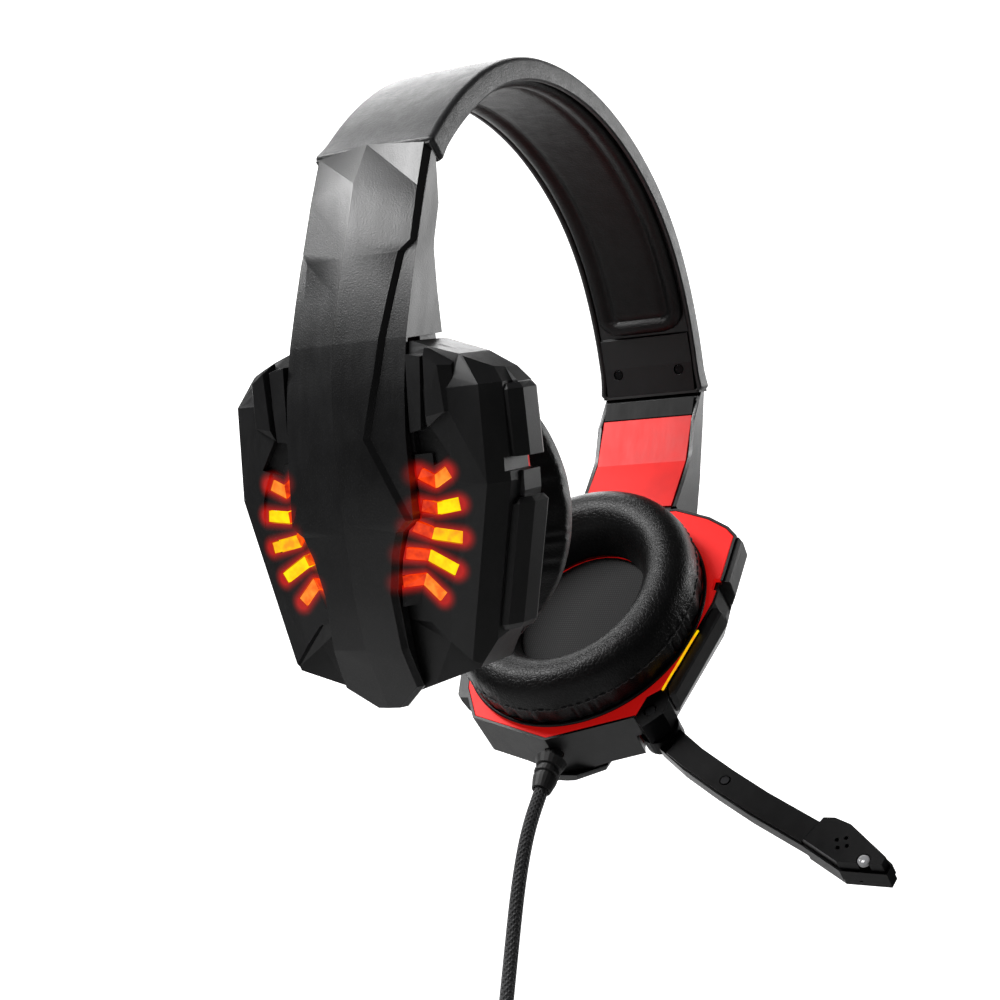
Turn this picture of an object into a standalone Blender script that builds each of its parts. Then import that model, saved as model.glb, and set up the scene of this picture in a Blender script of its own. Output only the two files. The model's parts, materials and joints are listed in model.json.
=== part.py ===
"""Over-ear gaming headset: sprung headband, two sliding lit cups, boom microphone, cord and plug.

All sizes below are in millimetres and are turned into metres once, when a mesh is made.
World frame: +Z up, +X towards the wearer's left ear, -Y the way the wearer faces.
The origin is the crown of the head, where the headband pad rests on it.
Cup frame: x outward from the ear, y as in the world, z up along the tilted ear plate.
"""
import math

import bmesh
import bpy
from mathutils import Matrix, Vector

MM = 0.001

# Headband: arcs of the outer surface from the crown to one end, as (radius, degrees).
BAND_ARCS = ((120.5, 20.6), (93.8, 26.5), (130.2, 19.1))
BAND_WIDTH = 40.4
BAND_THICKNESS = 7.9
BAND_WALL = 1.9
BAND_STEPS = 7
CROWN_DROP = 9.3          # outer crown to the pad's lower face
LINER_TOP = 5.3           # depth of the liner's upper face below the outer surface
LINER_THICKNESS = 1.3
LINER_END = 23.0          # plain end of the liner, without pad
PAD_MARGIN = 2.6          # band edge to pad edge
SPRING_WIDTH = 18.0
SPRING_REACH = 74.0
SCREW_RADIUS = 1.7
SCREW_SPACING = 25.0
SCREW_INSET = 9.0         # band end to the screws

# Slider: a flat steel strip that leaves the band's end along a chord of the last arc.
STRIP_WIDTH = 14.0
STRIP_THICKNESS = 1.2
STRIP_IN_BAND = 30.0
STRIP_IN_ARM = 17.0
SLIDE_TRAVEL = 20.0
SLIDE_LEAN = 29.6         # degrees outward from straight down

# Cup: an eight-sided case, tilted so that the cups lean together at the foot.
CUP_TILT = 25.0
CUP_FOOT_X = 38.4         # foot of the ear plate
CUP_FOOT_DROP = 214.9     # foot of the ear plate below the outer crown
CUP_HALF_DEPTH = 47.3
CUP_SHOULDER = 88.6       # height of the widest part's top
CUP_TOP = 103.0
CUP_MID = 58.0
FOOT_HALF = 31.0
FOOT_RISE = 9.5
CHAMFER_HALF = 38.4
CHAMFER_RISE = 22.3
CUP_WALL = 1.8
CUP_FACE = 24.0           # ear plate to the outer face
RIDGE_HEIGHT = 22.0       # ear plate to the blade ridge
PLATE_THICKNESS = 2.0

# Light fans on the outer face: one row per window, from the fold between its two panes,
# as (fold y, fold z, outer length, outer degrees, inner length, inner degrees).
FAN_CENTRE = (1.0, 52.0)
FAN_RADIUS = 33.4
FAN_DEPTH = 1.0
WINDOW_HALF = 1.9
WINDOWS = (
    (25.7, 63.3, 5.3, 28.0, 5.0, 147.0),
    (25.5, 55.7, 7.4, 7.0, 4.6, 165.0),
    (23.1, 48.7, 9.6, -10.0, 5.0, 145.0),
    (21.1, 42.6, 9.6, -29.0, 5.8, 166.0),
    (18.8, 35.9, 7.6, -45.0, 5.4, 180.0),
)
LAMP_PLATE = 1.6
LAMP_DROP = 4.6           # outer face to the lamp plate
POCKET_DEPTH = 2.6
FOOT_DEPTH = 3.4
RAMP_RISE = (0.4, 0.4, 2.4, 2.9, 2.9)

# Spine: the outer cover that runs from the band's end down the arm and the cup to its foot.
# One row per station: (height, ridge, edge, low edge, half width, half width of the raised plate).
SPINE = (
    (157.7, -4.3, -6.1, -7.8, 19.8, 18.4),
    (146.0, 5.4, 0.4, -6.2, 19.9, 18.5),
    (131.8, 13.9, 7.7, -1.4, 20.0, 18.6),
    (128.6, 15.6, 9.6, -0.4, 20.0, 15.7),
    (117.0, 20.7, 14.9, 0.3, 20.0, 14.4),
    (104.6, 25.7, 20.2, 0.3, 20.0, 13.0),
    (104.0, 25.9, 20.4, 19.5, 20.0, 13.0),
    (94.0, 28.7, 23.6, 22.6, 20.1, 12.0),
    (89.0, 29.4, 24.8, 24.1, 20.1, 11.0),
    (77.0, 30.9, 26.9, 24.6, 20.2, 8.6),
    (53.4, 31.0, 28.7, 24.6, 20.6, 19.3),
    (50.4, 30.9, 28.6, 24.6, 17.0, 15.7),
    (44.0, 30.6, 28.3, 24.5, 14.6, 13.3),
    (33.0, 29.9, 27.9, 24.4, 12.4, 11.1),
    (17.0, 27.3, 26.3, 23.2, 12.8, 11.5),
    (11.0, 24.8, 24.0, 22.7, 13.1, 11.8),
    (5.0, 21.9, 21.4, 20.8, 13.4, 12.1),
    (-1.6, 18.9, 18.5, 17.6, 5.0, 3.6),
)
WIDEST = 10               # station of the spine's widest corner on the cup
SPINE_PROUD = 1.8
SPINE_BEVEL = 1.2
SPINE_WALL = 1.4

# Arm, head side: rows of (height, face) along the arm, from the ear plate to the band's end.
ARM_INNER = ((104.6, -0.2), (127.0, -0.4), (144.8, -6.4), (152.0, -8.9))
INLAY_THICKNESS = 1.0
ARM_FRAME_THICKNESS = 1.2
INLAY_TOP = 144.8
ARM_HALF = 18.2

# Ear cushion and driver, centred on the ear plate.
CUSHION_CENTRE = 52.0
CUSHION_HALF_DEPTH = 44.0
CUSHION_HALF_HEIGHT = 47.5
CUSHION_OPENING = (23.5, 27.0)
CUSHION_THICKNESS = 18.5
RING_THICKNESS = 1.6
DRIVER_RADIUS = 20.0
DRIVER_DEPTH = 6.0
MAGNET_RADIUS = 11.0
MAGNET_DEPTH = 5.0

# Microphone boom, on the left cup's lower front corner.
BOOM_PIVOT = (-35.0, 12.5)
BOOM_PLANE = 9.4          # ear plate to the boom's inner face
BOOM_THICKNESS = 6.0
BOOM_DROP = 30.0          # degrees below straight ahead
BOOM_LENGTH = 100.0
BOOM_WIDTH = 9.6
BOOM_HEAD = 28.0
BOOM_HUB = 6.8
BOOM_PIN = 2.0
BOOM_SCREW_AT = 35.0
CAPSULE_RADIUS = 3.0

# Cord, from the left cup's foot; points in millimetres from the outer crown.
CORD_DIAMETER = 4.8
RELIEF_AT = 8.0           # ear plate to the cord's axis
RELIEF_LENGTH = 13.0
RELIEF_RADIUS = 4.3
CORD_ROUTE = (
    (39.4, 0.0, -231.9), (37.3, 0.0, -236.4), (35.2, 0.0, -241.2), (33.5, 0.0, -246.3),
    (32.2, 0.0, -251.8), (31.3, 0.0, -257.7), (30.7, 0.0, -264.0), (30.4, 0.0, -271.0),
    (30.3, 0.0, -279.0), (30.3, 0.0, -290.0), (30.3, 0.0, -302.0), (30.3, 0.0, -314.0),
    (30.3, 0.0, -322.0), (30.3, 0.0, -329.6),
)
HANK_TOP = 322.0          # outer crown to the top of the hank
HANK_RUN = 52.0
HANK_RADIUS = 21.6
HANK_DEPTH = 24.4
TAIL_LENGTH = 22.0
TIE_HEIGHT = 9.0
TIE_THICKNESS = 1.4
PLUG_BODY = (8.4, 15.6, 34.0)
PLUG_SHELL = (4.5, 12.0, 18.8)

GAP = 0.3                 # clearance between neighbours


# ---------------------------------------------------------------- materials and mesh helpers
def material(name, colour, roughness, metallic=0.0):
    found = bpy.data.materials.get(name)
    if found:
        return found
    made = bpy.data.materials.new(name)
    made.use_nodes = True
    shader = made.node_tree.nodes["Principled BSDF"]
    shader.inputs["Base Color"].default_value = (*colour, 1.0)
    shader.inputs["Roughness"].default_value = roughness
    shader.inputs["Metallic"].default_value = metallic
    made.diffuse_color = (*colour, 1.0)
    return made


def satin_black():
    return material("satin_black", (0.020, 0.020, 0.022), 0.42)


def red_plastic():
    return material("red_plastic", (0.62, 0.020, 0.018), 0.38)


def soft_black():
    return material("soft_black", (0.018, 0.018, 0.019), 0.55)


def steel():
    return material("steel", (0.45, 0.45, 0.46), 0.30, 1.0)


def amber_light():
    return material("amber_light", (1.0, 0.30, 0.03), 0.25)


def circuit_green():
    return material("circuit_green", (0.03, 0.16, 0.07), 0.5)


def dark_cloth():
    return material("dark_cloth", (0.014, 0.014, 0.015), 0.9)


def cord_black():
    return material("cord_black", (0.016, 0.016, 0.017), 0.7)


def finish(mesh, angle=30.0):
    """Point every face outward and shade round stretches smooth."""
    bm = bmesh.new()
    bm.from_mesh(mesh)
    bmesh.ops.remove_doubles(bm, verts=bm.verts, dist=0.000005)
    bmesh.ops.recalc_face_normals(bm, faces=bm.faces)
    bm.to_mesh(mesh)
    bm.free()
    mesh.shade_smooth()
    mesh.set_sharp_from_angle(angle=math.radians(angle))


def solid(name, points, faces, look=None, side=1):
    """A mesh object from points in millimetres; side -1 mirrors it in x."""
    mesh = bpy.data.meshes.new(name)
    mesh.from_pydata([Vector((side * p[0], p[1], p[2])) * MM for p in points], [], faces)
    finish(mesh)
    made = bpy.data.objects.new(name, mesh)
    bpy.context.scene.collection.objects.link(made)
    if look:
        mesh.materials.append(look)
    return made


def loft(name, loops, look=None, side=1, ring=False):
    """Skin closed loops of equal length; capped at both ends unless the loops form a ring."""
    count = len(loops[0])
    points = [p for loop in loops for p in loop]
    faces = []
    spans = len(loops) if ring else len(loops) - 1
    for row in range(spans):
        start = row * count
        after = ((row + 1) % len(loops)) * count
        for i in range(count):
            j = (i + 1) % count
            faces.append((start + i, start + j, after + j, after + i))
    if not ring:
        faces.append(tuple(range(count)))
        faces.append(tuple(range(len(points) - count, len(points))))
    return solid(name, points, faces, look, side)


def slab(name, outline, low, high, look=None, side=1):
    """An outline in (y, z) made solid from x = low to x = high."""
    loops = [[(x, y, z) for y, z in outline] for x in (low, high)]
    return loft(name, loops, look, side)


def hull(name, points, look=None, side=1):
    """The smallest convex solid around a few corner points."""
    bm = bmesh.new()
    for p in points:
        bm.verts.new(Vector((side * p[0], p[1], p[2])) * MM)
    made = bmesh.ops.convex_hull(bm, input=bm.verts)
    loose = [g for g in made["geom_interior"] if isinstance(g, bmesh.types.BMVert)]
    bmesh.ops.delete(bm, geom=loose, context="VERTS")
    bmesh.ops.dissolve_limit(bm, angle_limit=0.01, verts=bm.verts, edges=bm.edges)
    mesh = bpy.data.meshes.new(name)
    bm.to_mesh(mesh)
    bm.free()
    finish(mesh)
    body = bpy.data.objects.new(name, mesh)
    bpy.context.scene.collection.objects.link(body)
    if look:
        mesh.materials.append(look)
    return body


def turned(name, profile, segments, look=None, side=1, centre=(0.0, 0.0), stretch=(1.0, 1.0)):
    """Revolve a closed (radius, x) profile about an axis along x through centre (y, z)."""
    loops = []
    for step in range(segments):
        angle = 2.0 * math.pi * step / segments
        y, z = math.cos(angle) * stretch[0], math.sin(angle) * stretch[1]
        loops.append([(x, centre[0] + r * y, centre[1] + r * z) for r, x in profile])
    return loft(name, loops, look, side, ring=True)


def disc(name, radius, low, high, segments, look=None, side=1, centre=(0.0, 0.0)):
    """A plain round plug along x."""
    outline = []
    for step in range(segments):
        angle = 2.0 * math.pi * step / segments
        outline.append((centre[0] + radius * math.cos(angle), centre[1] + radius * math.sin(angle)))
    return slab(name, outline, low, high, look, side)


def combine(target, other, operation):
    """Boolean target with other, keep the result in target and remove other."""
    change = target.modifiers.new(operation, "BOOLEAN")
    change.operation = operation
    change.solver = "EXACT"
    change.object = other
    bpy.context.view_layer.update()
    view = bpy.context.evaluated_depsgraph_get()
    result = bpy.data.meshes.new_from_object(target.evaluated_get(view))
    target.modifiers.clear()
    looks = list(target.data.materials)
    target.data = result
    result.materials.clear()
    for look in looks:
        result.materials.append(look)
    for face in result.polygons:
        face.material_index = 0
    bpy.data.objects.remove(other)
    result.shade_smooth()
    result.set_sharp_from_angle(angle=math.radians(30.0))
    return target


def cut(target, other):
    return combine(target, other, "DIFFERENCE")


def join(target, other):
    return combine(target, other, "UNION")


def keep(target, other):
    return combine(target, other, "INTERSECT")


def both(half):
    """Mirror a half outline in y, so that it closes front to rear."""
    return half + [(-y, z) for y, z in reversed(half) if y > 0.001]


def inset(outline, distance):
    """Move each side of a convex outline inward by distance."""
    area = sum(a[0] * b[1] - b[0] * a[1] for a, b in zip(outline, outline[1:] + outline[:1]))
    turn = 1.0 if area > 0 else -1.0
    result = []
    for before, here, after in zip(outline[-1:] + outline[:-1], outline, outline[1:] + outline[:1]):
        sides = []
        for a, b in ((before, here), (here, after)):
            along = Vector((b[0] - a[0], b[1] - a[1])).normalized()
            sides.append(Vector((-along.y, along.x)) * turn)
        middle = (sides[0] + sides[1]).normalized()
        move = middle * (distance / max(0.2, middle.dot(sides[0])))
        result.append((here[0] + move.x, here[1] + move.y))
    return result


def frame(name, parent, place, turn):
    """An empty at a place in millimetres, turned by a rotation matrix."""
    made = bpy.data.objects.new(name, None)
    made.empty_display_size = 0.01
    bpy.context.scene.collection.objects.link(made)
    made.parent = parent
    made.location = Vector(place) * MM
    made.rotation_euler = turn.to_euler()
    return made


def attach(pieces, parent):
    for piece in pieces:
        piece.parent = parent


# ---------------------------------------------------------------- headband
def band_point(along, depth):
    """World (x, z) at an arc length from the crown and a depth below the outer surface."""
    sign = 1.0 if along >= 0 else -1.0
    left = abs(along)
    x, z, heading = 0.0, float(CROWN_DROP), 0.0
    for radius, degrees in BAND_ARCS:
        sweep = math.radians(degrees)
        step = min(left, radius * sweep) / radius
        x += radius * (math.sin(heading + step) - math.sin(heading))
        z += radius * (math.cos(heading + step) - math.cos(heading))
        heading += step
        left -= step * radius
        if left <= 0.0:
            break
    if left > 0.0:
        x += left * math.cos(heading)
        z -= left * math.sin(heading)
    return sign * (x - depth * math.sin(heading)), z - depth * math.cos(heading), heading


def band_length():
    return sum(radius * math.radians(degrees) for radius, degrees in BAND_ARCS)


def band_stations(reach, steps):
    return [reach * (i / steps) for i in range(-steps, steps + 1)]


def band_loft(name, section_at, stations, look):
    """Sweep a (y, depth) section along the band."""
    loops = []
    for along in stations:
        loop = []
        for y, depth in section_at(along):
            x, z, _ = band_point(along, depth)
            loop.append((x, y, z))
        loops.append(loop)
    return loft(name, loops, look)


def headband_cover():
    half = BAND_WIDTH / 2.0
    inner = half - BAND_WALL

    def section(_):
        return [
            (-half, BAND_THICKNESS), (-half, 1.5), (-half + 1.5, 0.35), (-half * 0.45, 0.0),
            (half * 0.45, 0.0), (half - 1.5, 0.35), (half, 1.5), (half, BAND_THICKNESS),
            (inner, BAND_THICKNESS), (inner, BAND_WALL + 0.2), (-inner, BAND_WALL + 0.2),
            (-inner, BAND_THICKNESS),
        ]

    return band_loft("headband_cover", section, band_stations(band_length(), 18), satin_black())


def headband_liner():
    half = BAND_WIDTH / 2.0 - BAND_WALL - GAP
    full = band_length() - 0.4
    turn = band_length() - LINER_END
    thick_end = BAND_THICKNESS - LINER_TOP - 0.3

    def section(along):
        drop = LINER_THICKNESS if abs(along) < turn else thick_end
        return [(-half, LINER_TOP), (half, LINER_TOP), (half, LINER_TOP + drop), (-half, LINER_TOP + drop)]

    inner = band_stations(turn - 0.6, 15)
    ends = [turn, turn + LINER_END / 2.0, full]
    stations = [-a for a in reversed(ends)] + inner + ends
    liner = band_loft("headband_liner", section, stations, satin_black())
    for sign in (-1, 1):
        for y in (-SCREW_SPACING / 2.0, SCREW_SPACING / 2.0):
            place = screw_place(sign)
            hole = disc("hole", SCREW_RADIUS + GAP, -1.5, 3.0, 12)
            hole.matrix_world = place @ Matrix.Translation((0.0, y * MM, 0.0))
            bpy.context.view_layer.update()
            cut(liner, hole)
    return liner


def screw_place(sign):
    """Where the band screws sit: x of the result points out of the band's head side."""
    along = sign * (band_length() - SCREW_INSET)
    x, z, heading = band_point(along, BAND_THICKNESS - 1.6)
    normal = Vector((-sign * math.sin(heading), 0.0, -math.cos(heading)))
    turn = Vector((1.0, 0.0, 0.0)).rotation_difference(normal).to_matrix().to_4x4()
    return Matrix.Translation(Vector((x, 0.0, z)) * MM) @ turn


def band_screw(name, sign, y):
    place = screw_place(sign)
    screw = disc(name, SCREW_RADIUS, GAP - 1.5, 1.2, 12, steel())
    screw.matrix_world = place @ Matrix.Translation((0.0, y * MM, 0.0))
    return screw


def headband_pad():
    half = BAND_WIDTH / 2.0 - PAD_MARGIN
    reach = band_length() - LINER_END - 1.5
    top = LINER_TOP + LINER_THICKNESS + GAP

    def section(along):
        ease = min(1.0, (reach - abs(along)) / 6.0)
        low = top + 0.8 + (CROWN_DROP - top - 0.8) * ease
        return [
            (-half, top), (half, top), (half, low - 0.6), (half - 1.6, low),
            (-half + 1.6, low), (-half, low - 0.6),
        ]

    stations = band_stations(reach, 15)
    return band_loft("headband_pad", section, stations, soft_black())


def spring_band():
    half = SPRING_WIDTH / 2.0
    low = BAND_WALL + 0.2 + GAP

    def section(_):
        return [(-half, low), (half, low), (half, low + 1.0), (-half, low + 1.0)]

    return band_loft("spring_band", section, band_stations(SPRING_REACH, 12), steel())


def slide_direction(side):
    lean = math.radians(SLIDE_LEAN)
    return Vector((side * math.sin(lean), 0.0, -math.cos(lean)))


def slide_origin(side):
    """Middle of the band's open end, on the strip's centre line."""
    middle = (BAND_WALL + 0.2 + LINER_TOP) / 2.0 + 0.1
    x, z, _ = band_point(side * band_length(), middle)
    return Vector((x, 0.0, z))


def slider_guide(side, name):
    """A plate with a slot that closes the band's end around the strip."""
    half = BAND_WIDTH / 2.0 - BAND_WALL - GAP
    end = band_length() - 0.6

    def section(_):
        top = BAND_WALL + 0.2 + GAP
        low = LINER_TOP - GAP
        return [(-half, top), (half, top), (half, low), (-half, low)]

    guide = band_loft(name, section, [side * (end - 5.0), side * (end - 2.5), side * end], satin_black())
    slot = strip_solid("slot", side, GAP * 0.9)
    cut(guide, slot)
    return guide


def strip_solid(name, side, grow, look=None):
    """The bent steel strip: straight in the band, then turned to hang straight down the arm."""
    start = slide_origin(side)
    along = slide_direction(side)
    bend = start + along * 0.9
    half = STRIP_WIDTH / 2.0 + grow
    thick = STRIP_THICKNESS / 2.0 + grow
    path = [start - along * (STRIP_IN_BAND + grow), bend, bend + Vector((0.0, 0.0, -STRIP_IN_ARM - grow))]
    loops = []
    for i, point in enumerate(path):
        before = path[max(0, i - 1)]
        after = path[min(len(path) - 1, i + 1)]
        heading = (after - before).normalized()
        across = Vector((heading.z, 0.0, -heading.x))
        loops.append([tuple(point + across * thick + Vector((0.0, -half, 0.0))),
                      tuple(point + across * thick + Vector((0.0, half, 0.0))),
                      tuple(point - across * thick + Vector((0.0, half, 0.0))),
                      tuple(point - across * thick + Vector((0.0, -half, 0.0)))])
    return loft(name, loops, look)


# ---------------------------------------------------------------- cup
def cup_outline():
    """The case seen along the ear axis, front half, from foot to top."""
    return both([
        (0.0, 0.0), (FOOT_HALF, FOOT_RISE), (CHAMFER_HALF, CHAMFER_RISE),
        (CUP_HALF_DEPTH - 0.6, CUP_MID), (CUP_HALF_DEPTH, CUP_MID + 12.0), (CUP_HALF_DEPTH, CUP_SHOULDER),
        (CUP_HALF_DEPTH - 4.0, CUP_SHOULDER + 4.2), (CUP_HALF_DEPTH - 12.5, CUP_SHOULDER + 9.4),
        (21.0, CUP_TOP),
    ])


def face_rows():
    """Stations of the outer face: (height, face level, ridge y, ridge level)."""
    ridge = CUP_HALF_DEPTH - 5.6
    drop = CUP_FACE - RIDGE_HEIGHT
    return (
        (-8.0, CUP_FACE - 10.4, FOOT_HALF - 5.0, RIDGE_HEIGHT - 8.0),
        (3.0, CUP_FACE - 4.4, FOOT_HALF - 3.0, RIDGE_HEIGHT - 3.2),
        (11.0, CUP_FACE - 1.8, FOOT_HALF - 1.0, RIDGE_HEIGHT - 0.9),
        (CUP_MID + 3.4, CUP_FACE, ridge, CUP_FACE - drop),
        (CUP_SHOULDER + 0.4, CUP_FACE - 0.3, ridge - 0.4, RIDGE_HEIGHT - 1.8),
        (CUP_TOP + 4.0, CUP_FACE - 6.0, ridge - 12.0, RIDGE_HEIGHT - 7.4),
    )


def face_solid(name, lower, look=None, side=1):
    """Everything under the outer face, lowered by a wall."""
    loops = []
    for z, face, ridge_y, ridge in face_rows():
        top = face - lower
        edge = ridge - lower
        y = ridge_y - lower * 0.55
        half = [(-2.0, 70.0), (edge - 12.6, 70.0), (edge - 12.0, y + 4.3), (edge - 7.0, y + 3.8),
                (edge, y), (top, y * 0.78)]
        loop = [(x, yy, z) for x, yy in half] + [(x, -yy, z) for x, yy in reversed(half)]
        loops.append(loop)
    return loft(name, loops, look, side)


def side_block(name, high, low, y_high, y_low, side, hand):
    """One of the bevelled blocks on the case's front or rear side."""
    corners = []
    levels = ((high, y_high, 1.4), (high - 1.6, y_high, 0.0), (low + 1.6, y_low, 0.0), (low, y_low, 1.4))
    for z, y, bevel in levels:
        for x, back in ((1.0, 7.0), (1.0, bevel + 0.3), (2.0 + bevel * 0.6, bevel),
                        (8.6 - bevel * 0.4, bevel + 0.6),
                        (13.0 - bevel, 3.2 + bevel * 0.6), (13.0 - bevel, 7.0)):
            corners.append((x, hand * (y - back), z))
    return hull(name, corners, None, side)


def shoulder_block(name, side, hand):
    """The two stacked bevelled blocks where the case meets the arm."""
    low = CUP_SHOULDER - 11.0
    corners = [
        (20.0, 20.9, 99.4), (23.6, 20.9, 99.4), (23.9, 25.8, 98.4), (20.0, 26.4, 99.0),
        (20.0, 20.9, low), (25.6, 20.9, low), (25.6, 24.6, low + 0.6), (20.0, 26.4, low + 1.6),
    ]
    return hull(name, [(x, hand * y, z) for x, y, z in corners], None, side)


def shoulder_facet(name, side, hand):
    low = CUP_SHOULDER - 10.0
    corners = [
        (12.0, 26.0, 101.4), (21.4, 26.0, 100.6), (24.9, 27.4, 98.2), (24.9, 31.6, 95.6), (12.0, 33.0, 98.6),
        (21.6, 34.2, 95.2), (25.6, 26.6, low + 3.0), (24.6, 32.2, low + 4.0), (21.6, 34.6, low + 4.0),
        (12.0, 34.0, low + 4.0), (12.0, 26.0, low), (24.2, 26.0, low),
    ]
    return hull(name, [(x, hand * y, z) for x, y, z in corners], None, side)


def window_panes(row, grow):
    """The two quads of a bent window, meeting at its fold: outer pane, inner pane."""
    y, z, out_length, out_degrees, in_length, in_degrees = row
    fold = Vector((y, z))
    outward = Vector((math.cos(math.radians(out_degrees)), math.sin(math.radians(out_degrees))))
    inward = Vector((math.cos(math.radians(in_degrees)), math.sin(math.radians(in_degrees))))
    half = WINDOW_HALF + grow
    far = fold + outward * (out_length + grow)
    near = fold + inward * (in_length + grow)
    out_side = Vector((-outward.y, outward.x)) * half
    in_side = Vector((inward.y, -inward.x)) * half
    mitre = (out_side + in_side) * (half * half / (half * half + out_side.dot(in_side)))
    return ([far + out_side, fold + mitre, fold - mitre, far - out_side],
            [fold + mitre, near + in_side, near - in_side, fold - mitre])


def window_outline(row, grow, hand):
    """A bent two-pane window seen along the ear axis."""
    outer, inner = window_panes(row, grow)
    outline = [outer[0], outer[1], inner[1], inner[2], outer[2], outer[3]]
    return [(hand * p.x, p.y) for p in outline]


def spine_half_width(z):
    """Half width of the spine at a height on the cup."""
    for above, below in zip(SPINE, SPINE[1:]):
        if below[0] <= z <= above[0]:
            share = (above[0] - z) / (above[0] - below[0])
            return above[4] + (below[4] - above[4]) * share
    return SPINE[-1][4]


def foot_recess(name, side, hand, grow):
    """The hollow beside the spine's foot; grow adds the wall under it."""
    outline = [(10.0, 25.0), (19.2, 23.5), (22.2, 16.9), (26.5, 12.5), (31.6, 10.4), (30.0, -4.0),
               (10.0, -6.0)]
    middle = Vector((20.0, 12.0))
    corners = []
    for y, z in outline:
        away = (Vector((y, z)) - middle).normalized() * grow
        floor = CUP_FACE - FOOT_DEPTH - (2.2 if z < 20.0 else 0.0) - grow
        corners += [(floor, hand * (y + away.x), z + away.y), (40.0, hand * (y + away.x), z + away.y)]
    return hull(name, corners, None, side)


def pocket(name, side, hand, grow):
    """The dark recess above the highest window; grow adds the wall under it."""
    outline = [(20.9, 80.0), (26.5, 79.0), (32.2, 70.2), (25.6, 67.6), (21.2, 68.6)]
    middle = Vector((25.0, 73.0))
    corners = []
    for y, z in outline:
        away = (Vector((y, z)) - middle).normalized() * grow
        floor = CUP_FACE - POCKET_DEPTH - grow
        corners += [(floor, hand * (y + away.x), z + away.y), (40.0, hand * (y + away.x), z + away.y)]
    return hull(name, corners, None, side)


def ramp_rows():
    """Stations of the shoulder beside the spine: (z, top y, top level, fold y)."""
    rows = []
    for row, rise in zip(WINDOWS, RAMP_RISE):
        start = max(spine_half_width(row[1]) + GAP + 0.2, 20.7 if row[1] > 52.0 else 0.0)
        rows.append((row[1], start, CUP_FACE + rise, row[0]))
    corner = SPINE[WIDEST][0]
    rows.insert(2, (corner, SPINE[WIDEST][4] + GAP + 0.2, CUP_FACE + 0.9, 24.6))
    rows.insert(3, (corner - 3.0, SPINE[WIDEST + 1][4] + GAP + 0.2, CUP_FACE + 2.2, 23.7))
    first, last = rows[0], rows[-1]
    return [(first[0] + 8.0, *first[1:])] + rows + [(last[0] - 7.0, last[1] - 0.6, last[2], last[3] - 2.2)]


def ramp_solid(name, side, hand):
    """The sloping shoulder beside the spine that the inner panes lie on."""
    floor = CUP_FACE - FAN_DEPTH - 0.3
    loops = []
    for z, start, top, fold in ramp_rows():
        corners = ((14.0, start), (top, start), (floor, fold), (14.0, fold))
        loops.append([(x, hand * y, z) for x, y in corners])
    return loft(name, loops, None, side)


def bent_finger(row, rise, base, side, hand):
    """A clear finger that fills one window, flush with the panes' two slopes."""
    flat = CUP_FACE - FAN_DEPTH - 0.1
    outline = window_outline(row, -GAP, hand)
    levels = (flat, flat, CUP_FACE + rise - 0.3, CUP_FACE + rise - 0.3, flat, flat)
    points = [(base, y, z) for y, z in outline] + [(x, y, z) for x, (y, z) in zip(levels, outline)]
    faces = [(i, (i + 1) % 6, (i + 1) % 6 + 6, i + 6) for i in range(6)]
    faces += [(0, 1, 4, 5), (1, 2, 3, 4), (6, 7, 10, 11), (7, 8, 9, 10)]
    return solid("finger", points, faces, None, side)


def case_solid(side):
    """The case's outer form without hollows."""
    body = slab("cup_body", cup_outline(), 0.0, 40.0, satin_black(), side)
    keep(body, face_solid("face", 0.0, None, side))
    for hand in (-1, 1):
        fan = disc("fan", FAN_RADIUS, CUP_FACE - FAN_DEPTH, 40.0, 48, None, side,
                   (hand * FAN_CENTRE[0], FAN_CENTRE[1]))
        window_zone = slab("zone", [(hand * y, z) for y, z in
                                    ((9.0, 20.0), (60.0, 20.0), (60.0, 72.0), (19.0, 72.0))],
                           0.0, 60.0, None, side)
        keep(fan, window_zone)
        cut(body, fan)
        cut(body, foot_recess("recess", side, hand, 0.0))
        cut(body, pocket("pocket", side, hand, 0.0))
        join(body, ramp_solid("ramp", side, hand))
        join(body, side_block("upper_block", CUP_SHOULDER - 0.3, CUP_MID + 8.3, CUP_HALF_DEPTH + 2.3,
                              CUP_HALF_DEPTH + 2.3, side, hand))
        join(body, side_block("lower_block", CUP_MID - 1.8, CHAMFER_RISE - 3.4, CUP_HALF_DEPTH + 2.2,
                              CHAMFER_HALF + 3.2, side, hand))
        join(body, shoulder_block("shoulder_block", side, hand))
        join(body, shoulder_facet("shoulder_facet", side, hand))
    return body


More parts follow.
